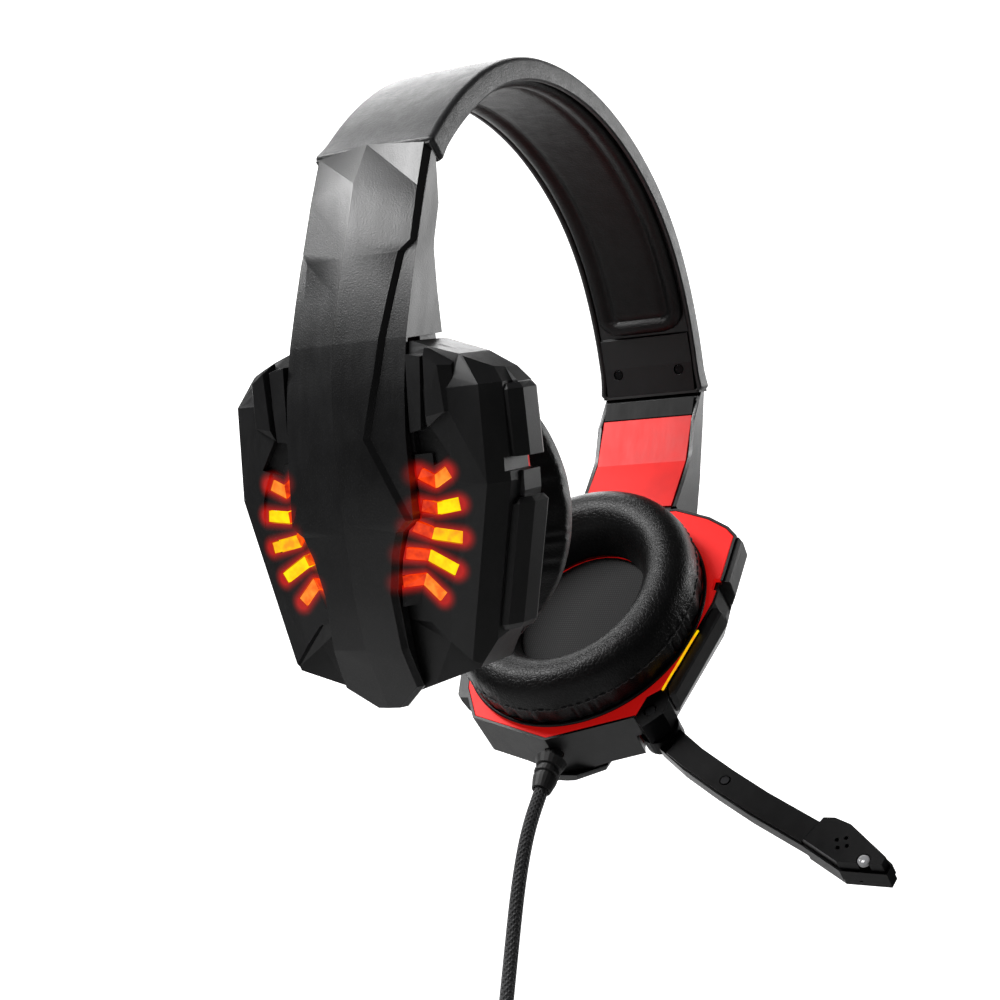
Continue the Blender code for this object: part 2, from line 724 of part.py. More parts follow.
def cup_shell(name, side):
    body = case_solid(side)
    body.name = name
    outline = cup_outline()
    recess = slab("plate_recess", inset(outline, 0.9), -3.0, PLATE_THICKNESS + GAP, None, side)
    hollow = slab("hollow", inset(outline, CUP_WALL + 0.9), -1.0, 40.0, None, side)
    ceiling = face_solid("ceiling", CUP_WALL + 1.0, None, side)
    keep(hollow, ceiling)
    for hand in (-1, 1):
        cut(hollow, foot_recess("foot_floor", side, hand, 1.6))
        cut(hollow, pocket("pocket_floor", side, hand, 1.6))
        for row in WINDOWS:
            opening = slab("opening", window_outline(row, 0.0, hand), CUP_FACE - 9.0, 40.0, None, side)
            cut(body, opening)
    cut(body, recess)
    cut(body, hollow)
    top_gate = slab("top_gate", [(-19.0, 96.0), (19.0, 96.0), (19.0, 108.0), (-19.0, 108.0)],
                    2.3, 18.0, None, side)
    cut(body, top_gate)
    for hand in (-1, 1):
        notch = slab("notch", [(hand * y, z) for y, z in
                               ((44.6, 64.2), (60.0, 60.4), (60.0, 67.0), (44.6, 68.0))],
                     -1.0, 30.0, None, side)
        cut(body, notch)
    if side > 0:
        corner = disc("corner", BOOM_HUB + 1.4, BOOM_PLANE - 0.4, 40.0, 32, None, side, BOOM_PIVOT)
        cut(body, corner)
        sweep = slab("sweep", [BOOM_PIVOT, (-80.0, 78.0), (-100.0, -40.0), (-44.0, -60.0),
                               (-26.0, -60.0), (-28.0, 6.0)],
                     BOOM_PLANE - 0.4, 40.0, None, side)
        cut(body, sweep)
        seat = slab("seat", mount_outline(0.35), -1.0, BOOM_PLANE + 4.0, None, side)
        cut(body, seat)
        exit_hole = disc("exit_hole", RELIEF_RADIUS - 0.9, -6.0, 8.0, 16)
        exit_hole.matrix_world = relief_place()
        bpy.context.view_layer.update()
        cut(body, exit_hole)
    return body


def relief_place():
    """Cup frame: x of the result points down out of the foot, on the cord's axis."""
    down = Vector((1.0, 0.0, 0.0)).rotation_difference(Vector((0.0, 0.0, -1.0))).to_matrix().to_4x4()
    return Matrix.Translation(Vector((RELIEF_AT, 0.0, 0.0)) * MM) @ down


def baffle(name, side):
    """The red ear plate with the driver's opening."""
    plate = slab(name, inset(cup_outline(), 1.1), 0.0, PLATE_THICKNESS, red_plastic(), side)
    cut(plate, disc("driver_hole", DRIVER_RADIUS + GAP, -5.0, 5.0, 40, None, side, (0.0, CUSHION_CENTRE)))
    for hand in (-1, 1):
        notch = slab("notch", [(hand * y, z) for y, z in
                               ((43.9, 63.8), (60.0, 60.0), (60.0, 68.0), (43.9, 68.6))],
                     -1.0, 5.0, None, side)
        cut(plate, notch)
    if side > 0:
        cut(plate, slab("seat", mount_outline(0.35), -1.0, 5.0, None, side))
    return plate


def spine_shell(name, side):
    """The long outer cover of arm and cup, hollow underneath."""
    loops = []
    hollow = []
    for z, ridge, edge, low, half, raised in SPINE:
        def level(y):
            return edge + (ridge - edge) * (1.0 - min(1.0, y / half))

        foot = min(half - 0.1, raised + SPINE_BEVEL)
        section = [(low, half), (level(half), half), (level(foot), foot),
                   (level(raised) + SPINE_PROUD, raised)]
        loop = section + [(level(0.0) + SPINE_PROUD, 0.0)] + [(x, -y) for x, y in reversed(section)]
        lean = arm_lean(z)
        loops.append([(x, y, z + lean * (x - edge)) for x, y in loop])
        inner_half = half - SPINE_WALL
        roof = [(-20.0, inner_half), (level(half) - SPINE_WALL, inner_half), (level(0.0) - SPINE_WALL, 0.0)]
        shift = -3.0 if not hollow else 0.0
        hollow.append([(x, y, z + shift + lean * (x - edge)) for x, y in
                       [roof[0], roof[1], roof[2], (roof[1][0], -inner_half), (-20.0, -inner_half)]])
    shell = loft(name, loops, satin_black(), side)
    inner = loft("spine_hollow", hollow[:-1], None, side)
    cut(shell, inner)
    slot = strip_solid("slot", side, GAP)
    slot.matrix_world = cup_matrix(side).inverted()
    bpy.context.view_layer.update()
    cut(shell, slot)
    return shell


def arm_lean(z):
    """How much stations tilt, so that the arm's top end is cut level with the band's end."""
    return 1.15 * max(0.0, min(1.0, (z - 131.8) / 26.9))


def arm_plate(name, side, low, high, depth, thickness, half, look):
    """A plate that follows the arm's head side between two heights."""
    rows = []
    heights = sorted({low, high, *[z for z, _ in ARM_INNER if low < z < high]})
    for z in heights:
        for (z1, a), (z2, b) in zip(ARM_INNER, ARM_INNER[1:]):
            if z1 <= z <= z2:
                rows.append((z, a + (b - a) * (z - z1) / (z2 - z1)))
                break
    loops = []
    for z, face in rows:
        loops.append([(x, y, z) for x, y in (
            (face + depth, -half), (face + depth, half), (face + depth + thickness, half),
            (face + depth + thickness, -half))])
    return loft(name, loops, look, side)


def light_guide(name, side, hand):
    """A clear plate under the face with one finger standing in each window."""
    plate = []
    for degrees in (22.0, 10.0, -6.0, -22.0, -38.0):
        angle = math.radians(degrees)
        reach = FAN_RADIUS - 1.5
        plate.append((FAN_CENTRE[0] + reach * math.cos(angle), FAN_CENTRE[1] + reach * math.sin(angle)))
    plate += [(13.9, 32.5), (14.0, 39.0), (18.4, 46.5), (20.6, 52.0), (21.4, 63.9)]
    top = CUP_FACE - LAMP_DROP
    guide = slab(name, [(hand * y, z) for y, z in plate], top - LAMP_PLATE, top, amber_light(), side)
    for row, rise in zip(WINDOWS, RAMP_RISE):
        join(guide, bent_finger(row, rise, top - 0.5, side, hand))
    return guide


def lamp_board(name, side):
    """The circuit board that lights both fans of a cup."""
    top = CUP_FACE - LAMP_DROP - LAMP_PLATE - GAP
    outline = both([(0.0, 31.0), (22.0, 31.0), (30.0, 40.0), (30.0, 62.0), (24.0, 70.0)])
    return slab(name, outline, top - 1.6, top, circuit_green(), side)


def driver(side, tag):
    """Basket, magnet and diaphragm of one loudspeaker."""
    centre = (0.0, CUSHION_CENTRE)
    low = 0.1
    basket = turned("driver_basket_" + tag, [
        (MAGNET_RADIUS - 2.0, DRIVER_DEPTH), (MAGNET_RADIUS - 2.0, DRIVER_DEPTH - 1.0),
        (DRIVER_RADIUS - 3.0, 1.6), (DRIVER_RADIUS - 3.0, low), (DRIVER_RADIUS, low),
        (DRIVER_RADIUS, 2.6), (DRIVER_RADIUS - 1.6, 2.6), (MAGNET_RADIUS + 1.4, DRIVER_DEPTH),
    ], 32, material("driver_grey", (0.10, 0.10, 0.11), 0.4), side, centre)
    magnet = disc("driver_magnet_" + tag, MAGNET_RADIUS, DRIVER_DEPTH + GAP, DRIVER_DEPTH + MAGNET_DEPTH, 24,
                  steel(), side, centre)
    cone = turned("driver_diaphragm_" + tag, [
        (0.2, 1.9), (0.2, 1.5), (5.0, 2.2), (8.0, 2.6),
        (DRIVER_RADIUS - 3.5, 0.5), (DRIVER_RADIUS - 3.5, 0.9),
        (8.0, 3.1), (5.0, 2.7),
    ], 32, material("diaphragm_film", (0.30, 0.30, 0.30), 0.3), side, centre)
    return [basket, magnet, cone]


def cushion_ring(name, side):
    """The stiff ring that the cushion's skirt is stretched over."""
    outer = CUSHION_HALF_DEPTH - 1.2
    stretch = (CUSHION_HALF_HEIGHT - 1.2) / outer
    inner = CUSHION_OPENING[0] + 3.0
    profile = [(inner, -GAP), (outer, -GAP), (outer, -GAP - RING_THICKNESS), (inner, -GAP - RING_THICKNESS)]
    return turned(name, profile, 40, satin_black(), side, (0.0, CUSHION_CENTRE), (1.0, stretch))


def ear_cushion(name, side):
    """A plain oval ring of padding."""
    base = -2.0 * GAP - RING_THICKNESS
    crest = base - CUSHION_THICKNESS
    loops = []
    for step in range(36):
        angle = 2.0 * math.pi * step / 36
        cosine, sine = math.cos(angle), math.sin(angle)
        out_y, out_z = CUSHION_HALF_DEPTH * cosine, CUSHION_HALF_HEIGHT * sine
        in_y, in_z = CUSHION_OPENING[0] * cosine, CUSHION_OPENING[1] * sine
        loop = []
        for share, x in ((0.0, base - 3.0), (0.06, base), (0.94, base), (1.0, base - 5.0),
                         (0.97, base - 11.0),
                         (0.80, crest + 1.5), (0.55, crest), (0.25, crest + 2.0), (0.04, base - 11.0)):
            loop.append((x, in_y + (out_y - in_y) * share, CUSHION_CENTRE + in_z + (out_z - in_z) * share))
        loops.append(loop)
    return loft(name, loops, soft_black(), side, ring=True)


def speaker_cloth(name, side):
    """The thin cloth over the driver, inside the cushion's opening."""
    outline = []
    for step in range(36):
        angle = 2.0 * math.pi * step / 36
        outline.append(((CUSHION_OPENING[0] + 1.4) * math.cos(angle),
                        CUSHION_CENTRE + (CUSHION_OPENING[1] + 1.0) * math.sin(angle)))
    return slab(name, outline, -1.0, -GAP, dark_cloth(), side)


# ---------------------------------------------------------------- microphone
def mount_outline(grow):
    """The corner block that carries the boom, seen along the ear axis."""
    y, z = BOOM_PIVOT
    corners = [(4.7, -3.4), (2.5, 5.3), (-3.4, 9.6), (-5.6, 4.0), (-5.2, -1.4), (0.8, -7.2)]
    return [(y + a * (1.0 + grow / 7.0), z + b * (1.0 + grow / 7.0)) for a, b in corners]


def microphone(side_frame):
    """Mount block and pin on the cup, and everything that swings with the boom."""
    y, z = BOOM_PIVOT
    block = slab("mic_mount", mount_outline(0.0), 0.1, BOOM_PLANE - GAP, satin_black())
    cut(block, disc("pin_hole", BOOM_PIN + GAP, -3.0, 20.0, 20, None, 1, BOOM_PIVOT))
    pin = disc("mic_pivot_pin", BOOM_PIN, 0.4, BOOM_PLANE + BOOM_THICKNESS + 0.8, 16, steel(), 1, BOOM_PIVOT)
    attach([block, pin], side_frame)

    hinge = frame("mic_boom_axis", side_frame, (BOOM_PLANE, y, z),
                  Matrix.Rotation(math.radians(BOOM_DROP), 3, "X"))
    half = BOOM_WIDTH / 2.0
    neck = -1.5
    head = BOOM_LENGTH - BOOM_HEAD

    def boom_edge(along, offset):
        bow = 2.6 * math.sin(math.pi * min(1.0, along / BOOM_LENGTH))
        return (-along, neck * min(1.0, along / 12.0) + offset - bow)

    upper = [boom_edge(a, half) for a in (5.0, 18.0, 34.0, 50.0, head)]
    lower = [boom_edge(a, -half) for a in (5.0, 18.0, 34.0, 50.0, head)]
    tip = [boom_edge(head + 5.0, half + 2.6), boom_edge(head + 11.0, half + 3.0),
           boom_edge(BOOM_LENGTH, half - 1.6),
           boom_edge(BOOM_LENGTH + 1.0, -half + 4.2), boom_edge(BOOM_LENGTH - 12.0, -half - 1.6)]
    outline = upper + tip + list(reversed(lower))
    shell = slab("boom_shell", outline, 1.5, BOOM_THICKNESS, satin_black())
    hub = disc("hub", BOOM_HUB, 0.0, BOOM_THICKNESS, 28)
    join(shell, hub)
    head_outline = [boom_edge(head, half)] + tip + [boom_edge(head, -half)]
    back = slab("head_back", inset(head_outline, 0.4), BOOM_THICKNESS - 1.0, BOOM_THICKNESS + 3.0)
    join(shell, back)
    cut(shell, disc("hub_hole", BOOM_PIN + GAP, -3.0, 20.0, 20))
    hollow = slab("capsule_well", [boom_edge(head + 5.0, 4.2), boom_edge(head + 21.0, 4.2),
                                   boom_edge(head + 21.0, -4.2), boom_edge(head + 5.0, -4.2)],
              -2.0, BOOM_THICKNESS + 1.2)
    cut(shell, hollow)
    screw_at = boom_edge(BOOM_SCREW_AT, 0.0)
    cut(shell, disc("screw_hole", 1.6 + GAP, -3.0, 4.4, 14, None, 1, screw_at))

    cover_outline = [boom_edge(a, half - 0.5) for a in (9.5, 18.0, 34.0, 50.0, head)]
    cover_outline += [boom_edge(a, -half + 0.5) for a in (head, 50.0, 34.0, 18.0, 9.5)]
    cover = slab("boom_cover", cover_outline, 0.1, 1.5 - GAP, satin_black())
    cut(cover, disc("screw_hole", 1.6 + GAP, -3.0, 5.0, 14, None, 1, screw_at))
    screw = disc("boom_screw", 1.6, -0.1, 4.2, 12, steel(), 1, screw_at)

    face_outline = inset(head_outline, 0.7)
    face = slab("mic_face", face_outline, -2.6, 1.5 - GAP, satin_black())
    cut(face, hull("face_slope", [(-5.0, -head - 3.6, 12.0), (-5.0, -head - 3.6, -16.0),
                                  (-5.0, -head + 6.0, 12.0),
                                  (-5.0, -head + 6.0, -16.0), (-0.1, -head + 6.0, 12.0),
                                  (-0.1, -head + 6.0, -16.0),
                                  (-0.1, -head - 0.4, 12.0), (-0.1, -head - 0.4, -16.0)]))
    centre = boom_edge(head + 13.0, 0.4)
    for dy, dz in ((-2.0, 0.0), (2.0, 0.0), (0.0, 2.0), (0.0, -2.0)):
        cut(face, disc("port", 0.7, -6.0, 5.0, 8, None, 1, (centre[0] + dy, centre[1] + dz)))
    lamp = boom_edge(head + 22.5, -1.4)
    cut(face, disc("lamp_hole", 1.9 + GAP, -6.0, 5.0, 14, None, 1, lamp))
    lens = disc("mic_lamp_lens", 1.9, -2.9, 1.0, 14, material("clear_lens", (0.8, 0.8, 0.8), 0.1), 1, lamp)
    capsule = disc("mic_capsule", CAPSULE_RADIUS, 1.5, 1.5 + 3.6, 18, steel(), 1, centre)
    attach([shell, cover, screw, face, lens, capsule], hinge)


# ---------------------------------------------------------------- cord and plug
def from_crown(point):
    return (point[0], point[1], point[2] + CROWN_DROP)


def strain_relief(cup):
    """A ribbed rubber sleeve that tapers onto the cord."""
    radius = CORD_DIAMETER / 2.0
    bore = radius + GAP
    profile = [
        (bore, -3.0), (RELIEF_RADIUS - 1.3, -3.0), (RELIEF_RADIUS - 1.3, 2.4), (RELIEF_RADIUS + 1.2, 2.9),
        (RELIEF_RADIUS + 0.2, 5.6), (RELIEF_RADIUS - 0.6, 5.9), (RELIEF_RADIUS - 0.6, 6.9),
        (RELIEF_RADIUS + 0.1, 7.2), (RELIEF_RADIUS + 0.1, 8.4), (RELIEF_RADIUS - 0.7, 8.8),
        (RELIEF_RADIUS - 0.7, 9.6), (RELIEF_RADIUS - 0.1, 9.9), (RELIEF_RADIUS - 0.2, 11.0),
        (radius + 0.9, RELIEF_LENGTH + 1.6), (bore, RELIEF_LENGTH + 1.6),
    ]
    sleeve = turned("strain_relief", profile, 20, material("sleeve_black", (0.02, 0.02, 0.02), 0.6))
    sleeve.parent = cup
    place = relief_place()
    sleeve.location = place.to_translation()
    sleeve.rotation_euler = place.to_euler()
    return sleeve


def cord_lead():
    """The hanging stretch of cord between the strain relief and the hank."""
    curve = bpy.data.curves.new("cord_lead", "CURVE")
    curve.dimensions = "3D"
    spline = curve.splines.new("POLY")
    spline.points.add(len(CORD_ROUTE) - 1)
    for point, place in zip(spline.points, CORD_ROUTE):
        point.co = (*(Vector(from_crown(place)) * MM), 1.0)
    curve.bevel_depth = CORD_DIAMETER / 2.0 * MM
    curve.bevel_resolution = 2
    curve.use_fill_caps = True
    curve.materials.append(cord_black())
    lead = bpy.data.objects.new("cord_lead", curve)
    bpy.context.scene.collection.objects.link(lead)
    return lead


def hank_outline(grow, steps=10):
    """Two straight runs and two round ends, in (x, z) from the hank's centre."""
    radius = HANK_RADIUS + grow
    outline = []
    for centre, first in ((HANK_RUN / 2.0, 0.0), (-HANK_RUN / 2.0, 180.0)):
        for step in range(steps + 1):
            angle = math.radians(first + 180.0 * step / steps)
            outline.append((radius * math.cos(angle), centre + radius * math.sin(angle)))
    return outline


def hank_centre():
    lead_x = CORD_ROUTE[-1][0]
    return lead_x + HANK_RADIUS - CORD_DIAMETER / 2.0, CROWN_DROP - HANK_TOP - HANK_RADIUS - HANK_RUN / 2.0


def cord_hank():
    """The stored length of cord, folded into a tied hank under the lead."""
    x0, z0 = hank_centre()
    loops = [[(x0 + x, y, z0 + z) for x, z in hank_outline(0.0)]
             for y in (-HANK_DEPTH / 2.0, HANK_DEPTH / 2.0)]
    return loft("cord_hank", loops, cord_black())


def cord_tie():
    """The strap around the middle of the hank."""
    x0, z0 = hank_centre()
    inner_x, inner_y = HANK_RADIUS + GAP, HANK_DEPTH / 2.0 + GAP
    loops = []
    for corner_x, corner_y in ((-1, -1), (1, -1), (1, 1), (-1, 1)):
        loops.append([(x0 + corner_x * (inner_x + t), corner_y * (inner_y + t), z0 + z) for t, z in (
            (0.0, -TIE_HEIGHT / 2.0), (TIE_THICKNESS, -TIE_HEIGHT / 2.0), (TIE_THICKNESS, TIE_HEIGHT / 2.0),
            (0.0, TIE_HEIGHT / 2.0))])
    return loft("cord_tie", loops, material("tie_black", (0.03, 0.03, 0.03), 0.6), ring=True)


def plug():
    """The tail of cord below the hank, the plug's grip and its metal shell."""
    x0, z0 = hank_centre()
    x = x0 - HANK_RADIUS + CORD_DIAMETER / 2.0
    drop = 9.0
    top = z0 - HANK_RUN / 2.0 - drop - TAIL_LENGTH
    radius = CORD_DIAMETER / 2.0
    tail_top = z0 - HANK_RUN / 2.0 - HANK_RADIUS * 0.63 - GAP
    pieces = []
    rings = []
    for z in (tail_top - GAP, top + GAP):
        rings.append([(x + radius * math.cos(math.radians(a)), radius * math.sin(math.radians(a)), z)
                      for a in range(0, 360, 36)])
    pieces.append(loft("cord_tail", rings, cord_black()))
    thick, wide, tall = PLUG_BODY
    body = []
    corners = ((1.0, 0.7), (0.9, 1.0), (-0.9, 1.0), (-1.0, 0.7),
               (-1.0, -0.7), (-0.9, -1.0), (0.9, -1.0), (1.0, -0.7))
    for z, share in ((top, 0.55), (top - 5.0, 0.80), (top - 9.0, 1.0),
                     (top - tall + 1.0, 1.0), (top - tall, 0.93)):
        body.append([(x + wide / 2.0 * share * a, thick / 2.0 * share * b, z) for a, b in corners])
    pieces.append(loft("plug_grip", body, material("plug_black", (0.02, 0.02, 0.02), 0.45)))
    thin, broad, reach = PLUG_SHELL
    high = top - tall - GAP
    outer = [(broad / 2.0, thin / 2.0), (-broad / 2.0, thin / 2.0),
             (-broad / 2.0, -thin / 2.0), (broad / 2.0, -thin / 2.0)]
    shell = loft("plug_shell", [[(x + a, b, z) for a, b in outer] for z in (high, high - reach)], steel())
    wall = 0.4
    bore = [(a - wall * (1 if a > 0 else -1), b - wall * (1 if b > 0 else -1)) for a, b in outer]
    cut(shell, loft("mouth", [[(x + a, b, z) for a, b in bore] for z in (high - 6.0, high - reach - 2.0)]))
    pieces.append(shell)
    return pieces


# ---------------------------------------------------------------- assembly
def build_headband():
    headband_cover()
    headband_liner()
    headband_pad()
    spring_band()
    for side, tag in ((1, "left"), (-1, "right")):
        slider_guide(side, "slider_guide_" + tag)
        for y, place in ((-SCREW_SPACING / 2.0, "front"), (SCREW_SPACING / 2.0, "rear")):
            band_screw("band_screw_%s_%s" % (tag, place), side, y)


def cup_matrix(side):
    """Where a cup stands: its foot, leaning in towards the neck."""
    foot = Vector((side * CUP_FOOT_X, 0.0, CROWN_DROP - CUP_FOOT_DROP)) * MM
    return Matrix.Translation(foot) @ Matrix.Rotation(side * math.radians(CUP_TILT), 4, "Y")


def build_cup(side, tag):
    place = cup_matrix(side)
    cup = frame("cup_frame_" + tag, None, place.translation / MM, place.to_3x3())
    strip_solid("slider_strip_" + tag, side, 0.0, steel())
    pieces = [
        cup_shell("cup_shell_" + tag, side),
        spine_shell("spine_cover_" + tag, side),
        baffle("ear_plate_" + tag, side),
        arm_plate("arm_frame_" + tag, side, 104.6, 152.0, INLAY_THICKNESS + GAP, ARM_FRAME_THICKNESS,
                  ARM_HALF, satin_black()),
        arm_plate("arm_inlay_" + tag, side, 104.6, INLAY_TOP, 0.0, INLAY_THICKNESS, ARM_HALF, red_plastic()),
        arm_plate("arm_end_trim_" + tag, side, INLAY_TOP + GAP, 152.0, 0.0, INLAY_THICKNESS, ARM_HALF,
                  satin_black()),
        light_guide("light_guide_front_" + tag, side, -1),
        light_guide("light_guide_rear_" + tag, side, 1),
        lamp_board("lamp_board_" + tag, side),
        cushion_ring("cushion_ring_" + tag, side),
        ear_cushion("ear_cushion_" + tag, side),
        speaker_cloth("speaker_cloth_" + tag, side),
    ]
    pieces += driver(side, tag)
    attach(pieces, cup)
    return cup


def main():
    for old in list(bpy.data.objects):
        bpy.data.objects.remove(old)
    build_headband()
    build_cup(-1, "right")
    left = build_cup(1, "left")
    microphone(left)
    strain_relief(left)
    cord_lead()
    cord_hank()
    cord_tie()
    plug()


main()
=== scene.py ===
import json
import math

import bmesh
import bpy
from mathutils import Matrix, Vector, noise


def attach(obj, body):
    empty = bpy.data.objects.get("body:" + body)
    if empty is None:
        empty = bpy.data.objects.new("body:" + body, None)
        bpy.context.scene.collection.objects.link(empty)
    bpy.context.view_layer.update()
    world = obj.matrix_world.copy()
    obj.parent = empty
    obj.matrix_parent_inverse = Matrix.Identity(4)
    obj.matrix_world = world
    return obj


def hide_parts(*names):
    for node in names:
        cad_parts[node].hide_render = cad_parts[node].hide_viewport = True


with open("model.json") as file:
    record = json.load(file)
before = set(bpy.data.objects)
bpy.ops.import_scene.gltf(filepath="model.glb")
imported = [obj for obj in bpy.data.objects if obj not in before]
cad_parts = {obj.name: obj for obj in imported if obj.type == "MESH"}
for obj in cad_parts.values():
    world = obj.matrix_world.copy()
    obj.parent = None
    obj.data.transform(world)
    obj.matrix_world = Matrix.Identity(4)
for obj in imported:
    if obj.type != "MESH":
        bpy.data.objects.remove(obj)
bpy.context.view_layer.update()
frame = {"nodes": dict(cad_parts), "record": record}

MM = 0.001
CROWN_DROP = 9.3
BAND_ARCS = ((120.5, 20.6), (93.8, 26.5), (130.2, 19.1))
BAND_WIDTH = 40.4
CUP_TILT = math.radians(25.0)
CUP_FOOT = (38.4, CROWN_DROP - 214.9)
CUSHION_CENTRE = 52.0
CUSHION_HALF = (44.0, 47.5)
CUSHION_OPENING = (23.5, 27.0)
CUSHION_BASE = -2.2
CUSHION_THICKNESS = 18.5
CORD_DIAMETER = 4.8
CORD_ROUTE = (
    (39.4, 0.0, -231.9), (37.3, 0.0, -236.4), (35.2, 0.0, -241.2), (33.5, 0.0, -246.3),
    (32.2, 0.0, -251.8), (31.3, 0.0, -257.7), (30.7, 0.0, -264.0), (30.4, 0.0, -271.0),
    (30.3, 0.0, -279.0), (30.3, 0.0, -290.0), (30.3, 0.0, -302.0), (30.3, 0.0, -314.0),
    (30.3, 0.0, -322.0), (30.3, 0.0, -329.6),
)
HANK_TOP = 322.0
HANK_RUN = 52.0
HANK_RADIUS = 21.6
LIP_REACH = 0.8
COVER_BEAD = 0.9
WINDOWS = (
    (25.7, 63.3, 5.3, 28.0, 5.0, 147.0),
    (25.5, 55.7, 7.4, 7.0, 4.6, 165.0),
    (23.1, 48.7, 9.6, -10.0, 5.0, 145.0),
    (21.1, 42.6, 9.6, -29.0, 5.8, 166.0),
    (18.8, 35.9, 7.6, -45.0, 5.4, 180.0),
)


# ------------------------------------------------------------------ camera
def make_camera():
    azimuth, elevation, roll = math.radians(-59.05), math.radians(-17.10), math.radians(6.23)
    back = Vector((math.sin(azimuth) * math.cos(elevation), -math.cos(azimuth) * math.cos(elevation),
                   math.sin(elevation)))
    right = Vector((0.0, 0.0, 1.0)).cross(back).normalized()
    up = back.cross(right)
    turned_right = right * math.cos(roll) + up * math.sin(roll)
    turned_up = up * math.cos(roll) - right * math.sin(roll)
    data = bpy.data.cameras.new("camera")
    data.lens = 68.9
    data.sensor_width = 36.0
    data.clip_start = 0.01
    camera = bpy.data.objects.new("camera", data)
    bpy.context.scene.collection.objects.link(camera)
    axes = Matrix((turned_right, turned_up, back)).transposed().to_4x4()
    camera.matrix_world = Matrix.Translation((-0.5139, -0.3040, -0.3275 + CROWN_DROP * MM)) @ axes
    bpy.context.scene.camera = camera


# ------------------------------------------------------------------ materials
class Look:
    """A node material under construction, with short helpers for its nodes."""

    def __init__(self, name):
        self.material = bpy.data.materials.new(name)
        self.material.use_nodes = True
        self.tree = self.material.node_tree
        self.shader = self.tree.nodes["Principled BSDF"]

    def node(self, kind, **settings):
        made = self.tree.nodes.new(kind)
        for key, value in settings.items():
            setattr(made, key, value)
        return made

    def link(self, source, target):
        self.tree.links.new(source, target)

    def set(self, **values):
        for key, value in values.items():
            self.shader.inputs[key.replace("_", " ")].default_value = value
        return self

    def place(self, scale=(1.0, 1.0, 1.0)):
        coords = self.node("ShaderNodeTexCoord")
        mapping = self.node("ShaderNodeMapping")
        mapping.inputs["Scale"].default_value = scale
        self.link(coords.outputs["Object"], mapping.inputs["Vector"])
        return mapping.outputs["Vector"]

    def noise(self, scale, detail=3.0, rough=0.55, vector=None):
        made = self.node("ShaderNodeTexNoise")
        made.inputs["Scale"].default_value = scale
        made.inputs["Detail"].default_value = detail
        made.inputs["Roughness"].default_value = rough
        self.link(vector or self.place(), made.inputs["Vector"])
        return made.outputs["Fac"]

    def cells(self, scale, vector=None, feature="F1", output="Distance"):
        made = self.node("ShaderNodeTexVoronoi", feature=feature)
        made.inputs["Scale"].default_value = scale
        self.link(vector or self.place(), made.inputs["Vector"])
        return made.outputs[output]

    def attribute(self, name, output="Fac"):
        made = self.node("ShaderNodeAttribute", attribute_name=name)
        return made.outputs[output]

    def math(self, operation, a, b=0.0, c=0.0, clamp=False):
        made = self.node("ShaderNodeMath", operation=operation, use_clamp=clamp)
        for socket, value in zip(made.inputs, (a, b, c)):
            if isinstance(value, (int, float)):
                socket.default_value = value
            else:
                self.link(value, socket)
        return made.outputs[0]

    def spread(self, value, low, high, out_low, out_high, smooth=False):
        made = self.node("ShaderNodeMapRange")
        if smooth:
            made.interpolation_type = "SMOOTHSTEP"
        for key, number in (("From Min", low), ("From Max", high), ("To Min", out_low), ("To Max", out_high)):
            made.inputs[key].default_value = number
        self.link(value, made.inputs["Value"])
        return made.outputs["Result"]

    def ramp(self, value, *stops):
        made = self.node("ShaderNodeValToRGB")
        band = made.color_ramp
        while len(band.elements) < len(stops):
            band.elements.new(0.5)
        for element, (position, colour) in zip(band.elements, stops):
            element.position = position
            element.color = (*colour, 1.0)
        self.link(value, made.inputs["Fac"])
        return made.outputs["Color"]

    def bump(self, height, strength, distance, under=None):
        made = self.node("ShaderNodeBump")
        made.inputs["Strength"].default_value = strength
        made.inputs["Distance"].default_value = distance
        self.link(height, made.inputs["Height"])
        if under:
            self.link(under, made.inputs["Normal"])
        return made.outputs["Normal"]

    def use(self, **sockets):
        for key, socket in sockets.items():
            self.link(socket, self.shader.inputs[key.replace("_", " ")])
        return self


def shade(colour, share):
    return tuple(c * share for c in colour)


def moulded(name, colour, rough=0.42, grain=2600.0, depth=0.5, gloss=0.5):
    """Satin moulded plastic with a fine spark-eroded grain and faint handling marks."""
    look = Look(name)
    fine = look.noise(grain, 2.0, 0.6)
    broad = look.noise(38.0, 3.0, 0.6)
    scuffs = look.noise(260.0, 4.0, 0.7, look.place((1.0, 1.0, 0.18)))
    look.use(Base_Color=look.ramp(broad, (0.3, shade(colour, 0.85)), (0.7, shade(colour, 1.18))))
    uneven = look.math("ADD", look.spread(broad, 0.3, 0.7, rough - 0.03, rough + 0.04),
                       look.spread(scuffs, 0.35, 0.75, -0.03, 0.04))
    look.use(Roughness=uneven)
    look.use(Normal=look.bump(fine, depth * 0.5, 0.00012))
    look.set(Specular_IOR_Level=gloss)
    return look


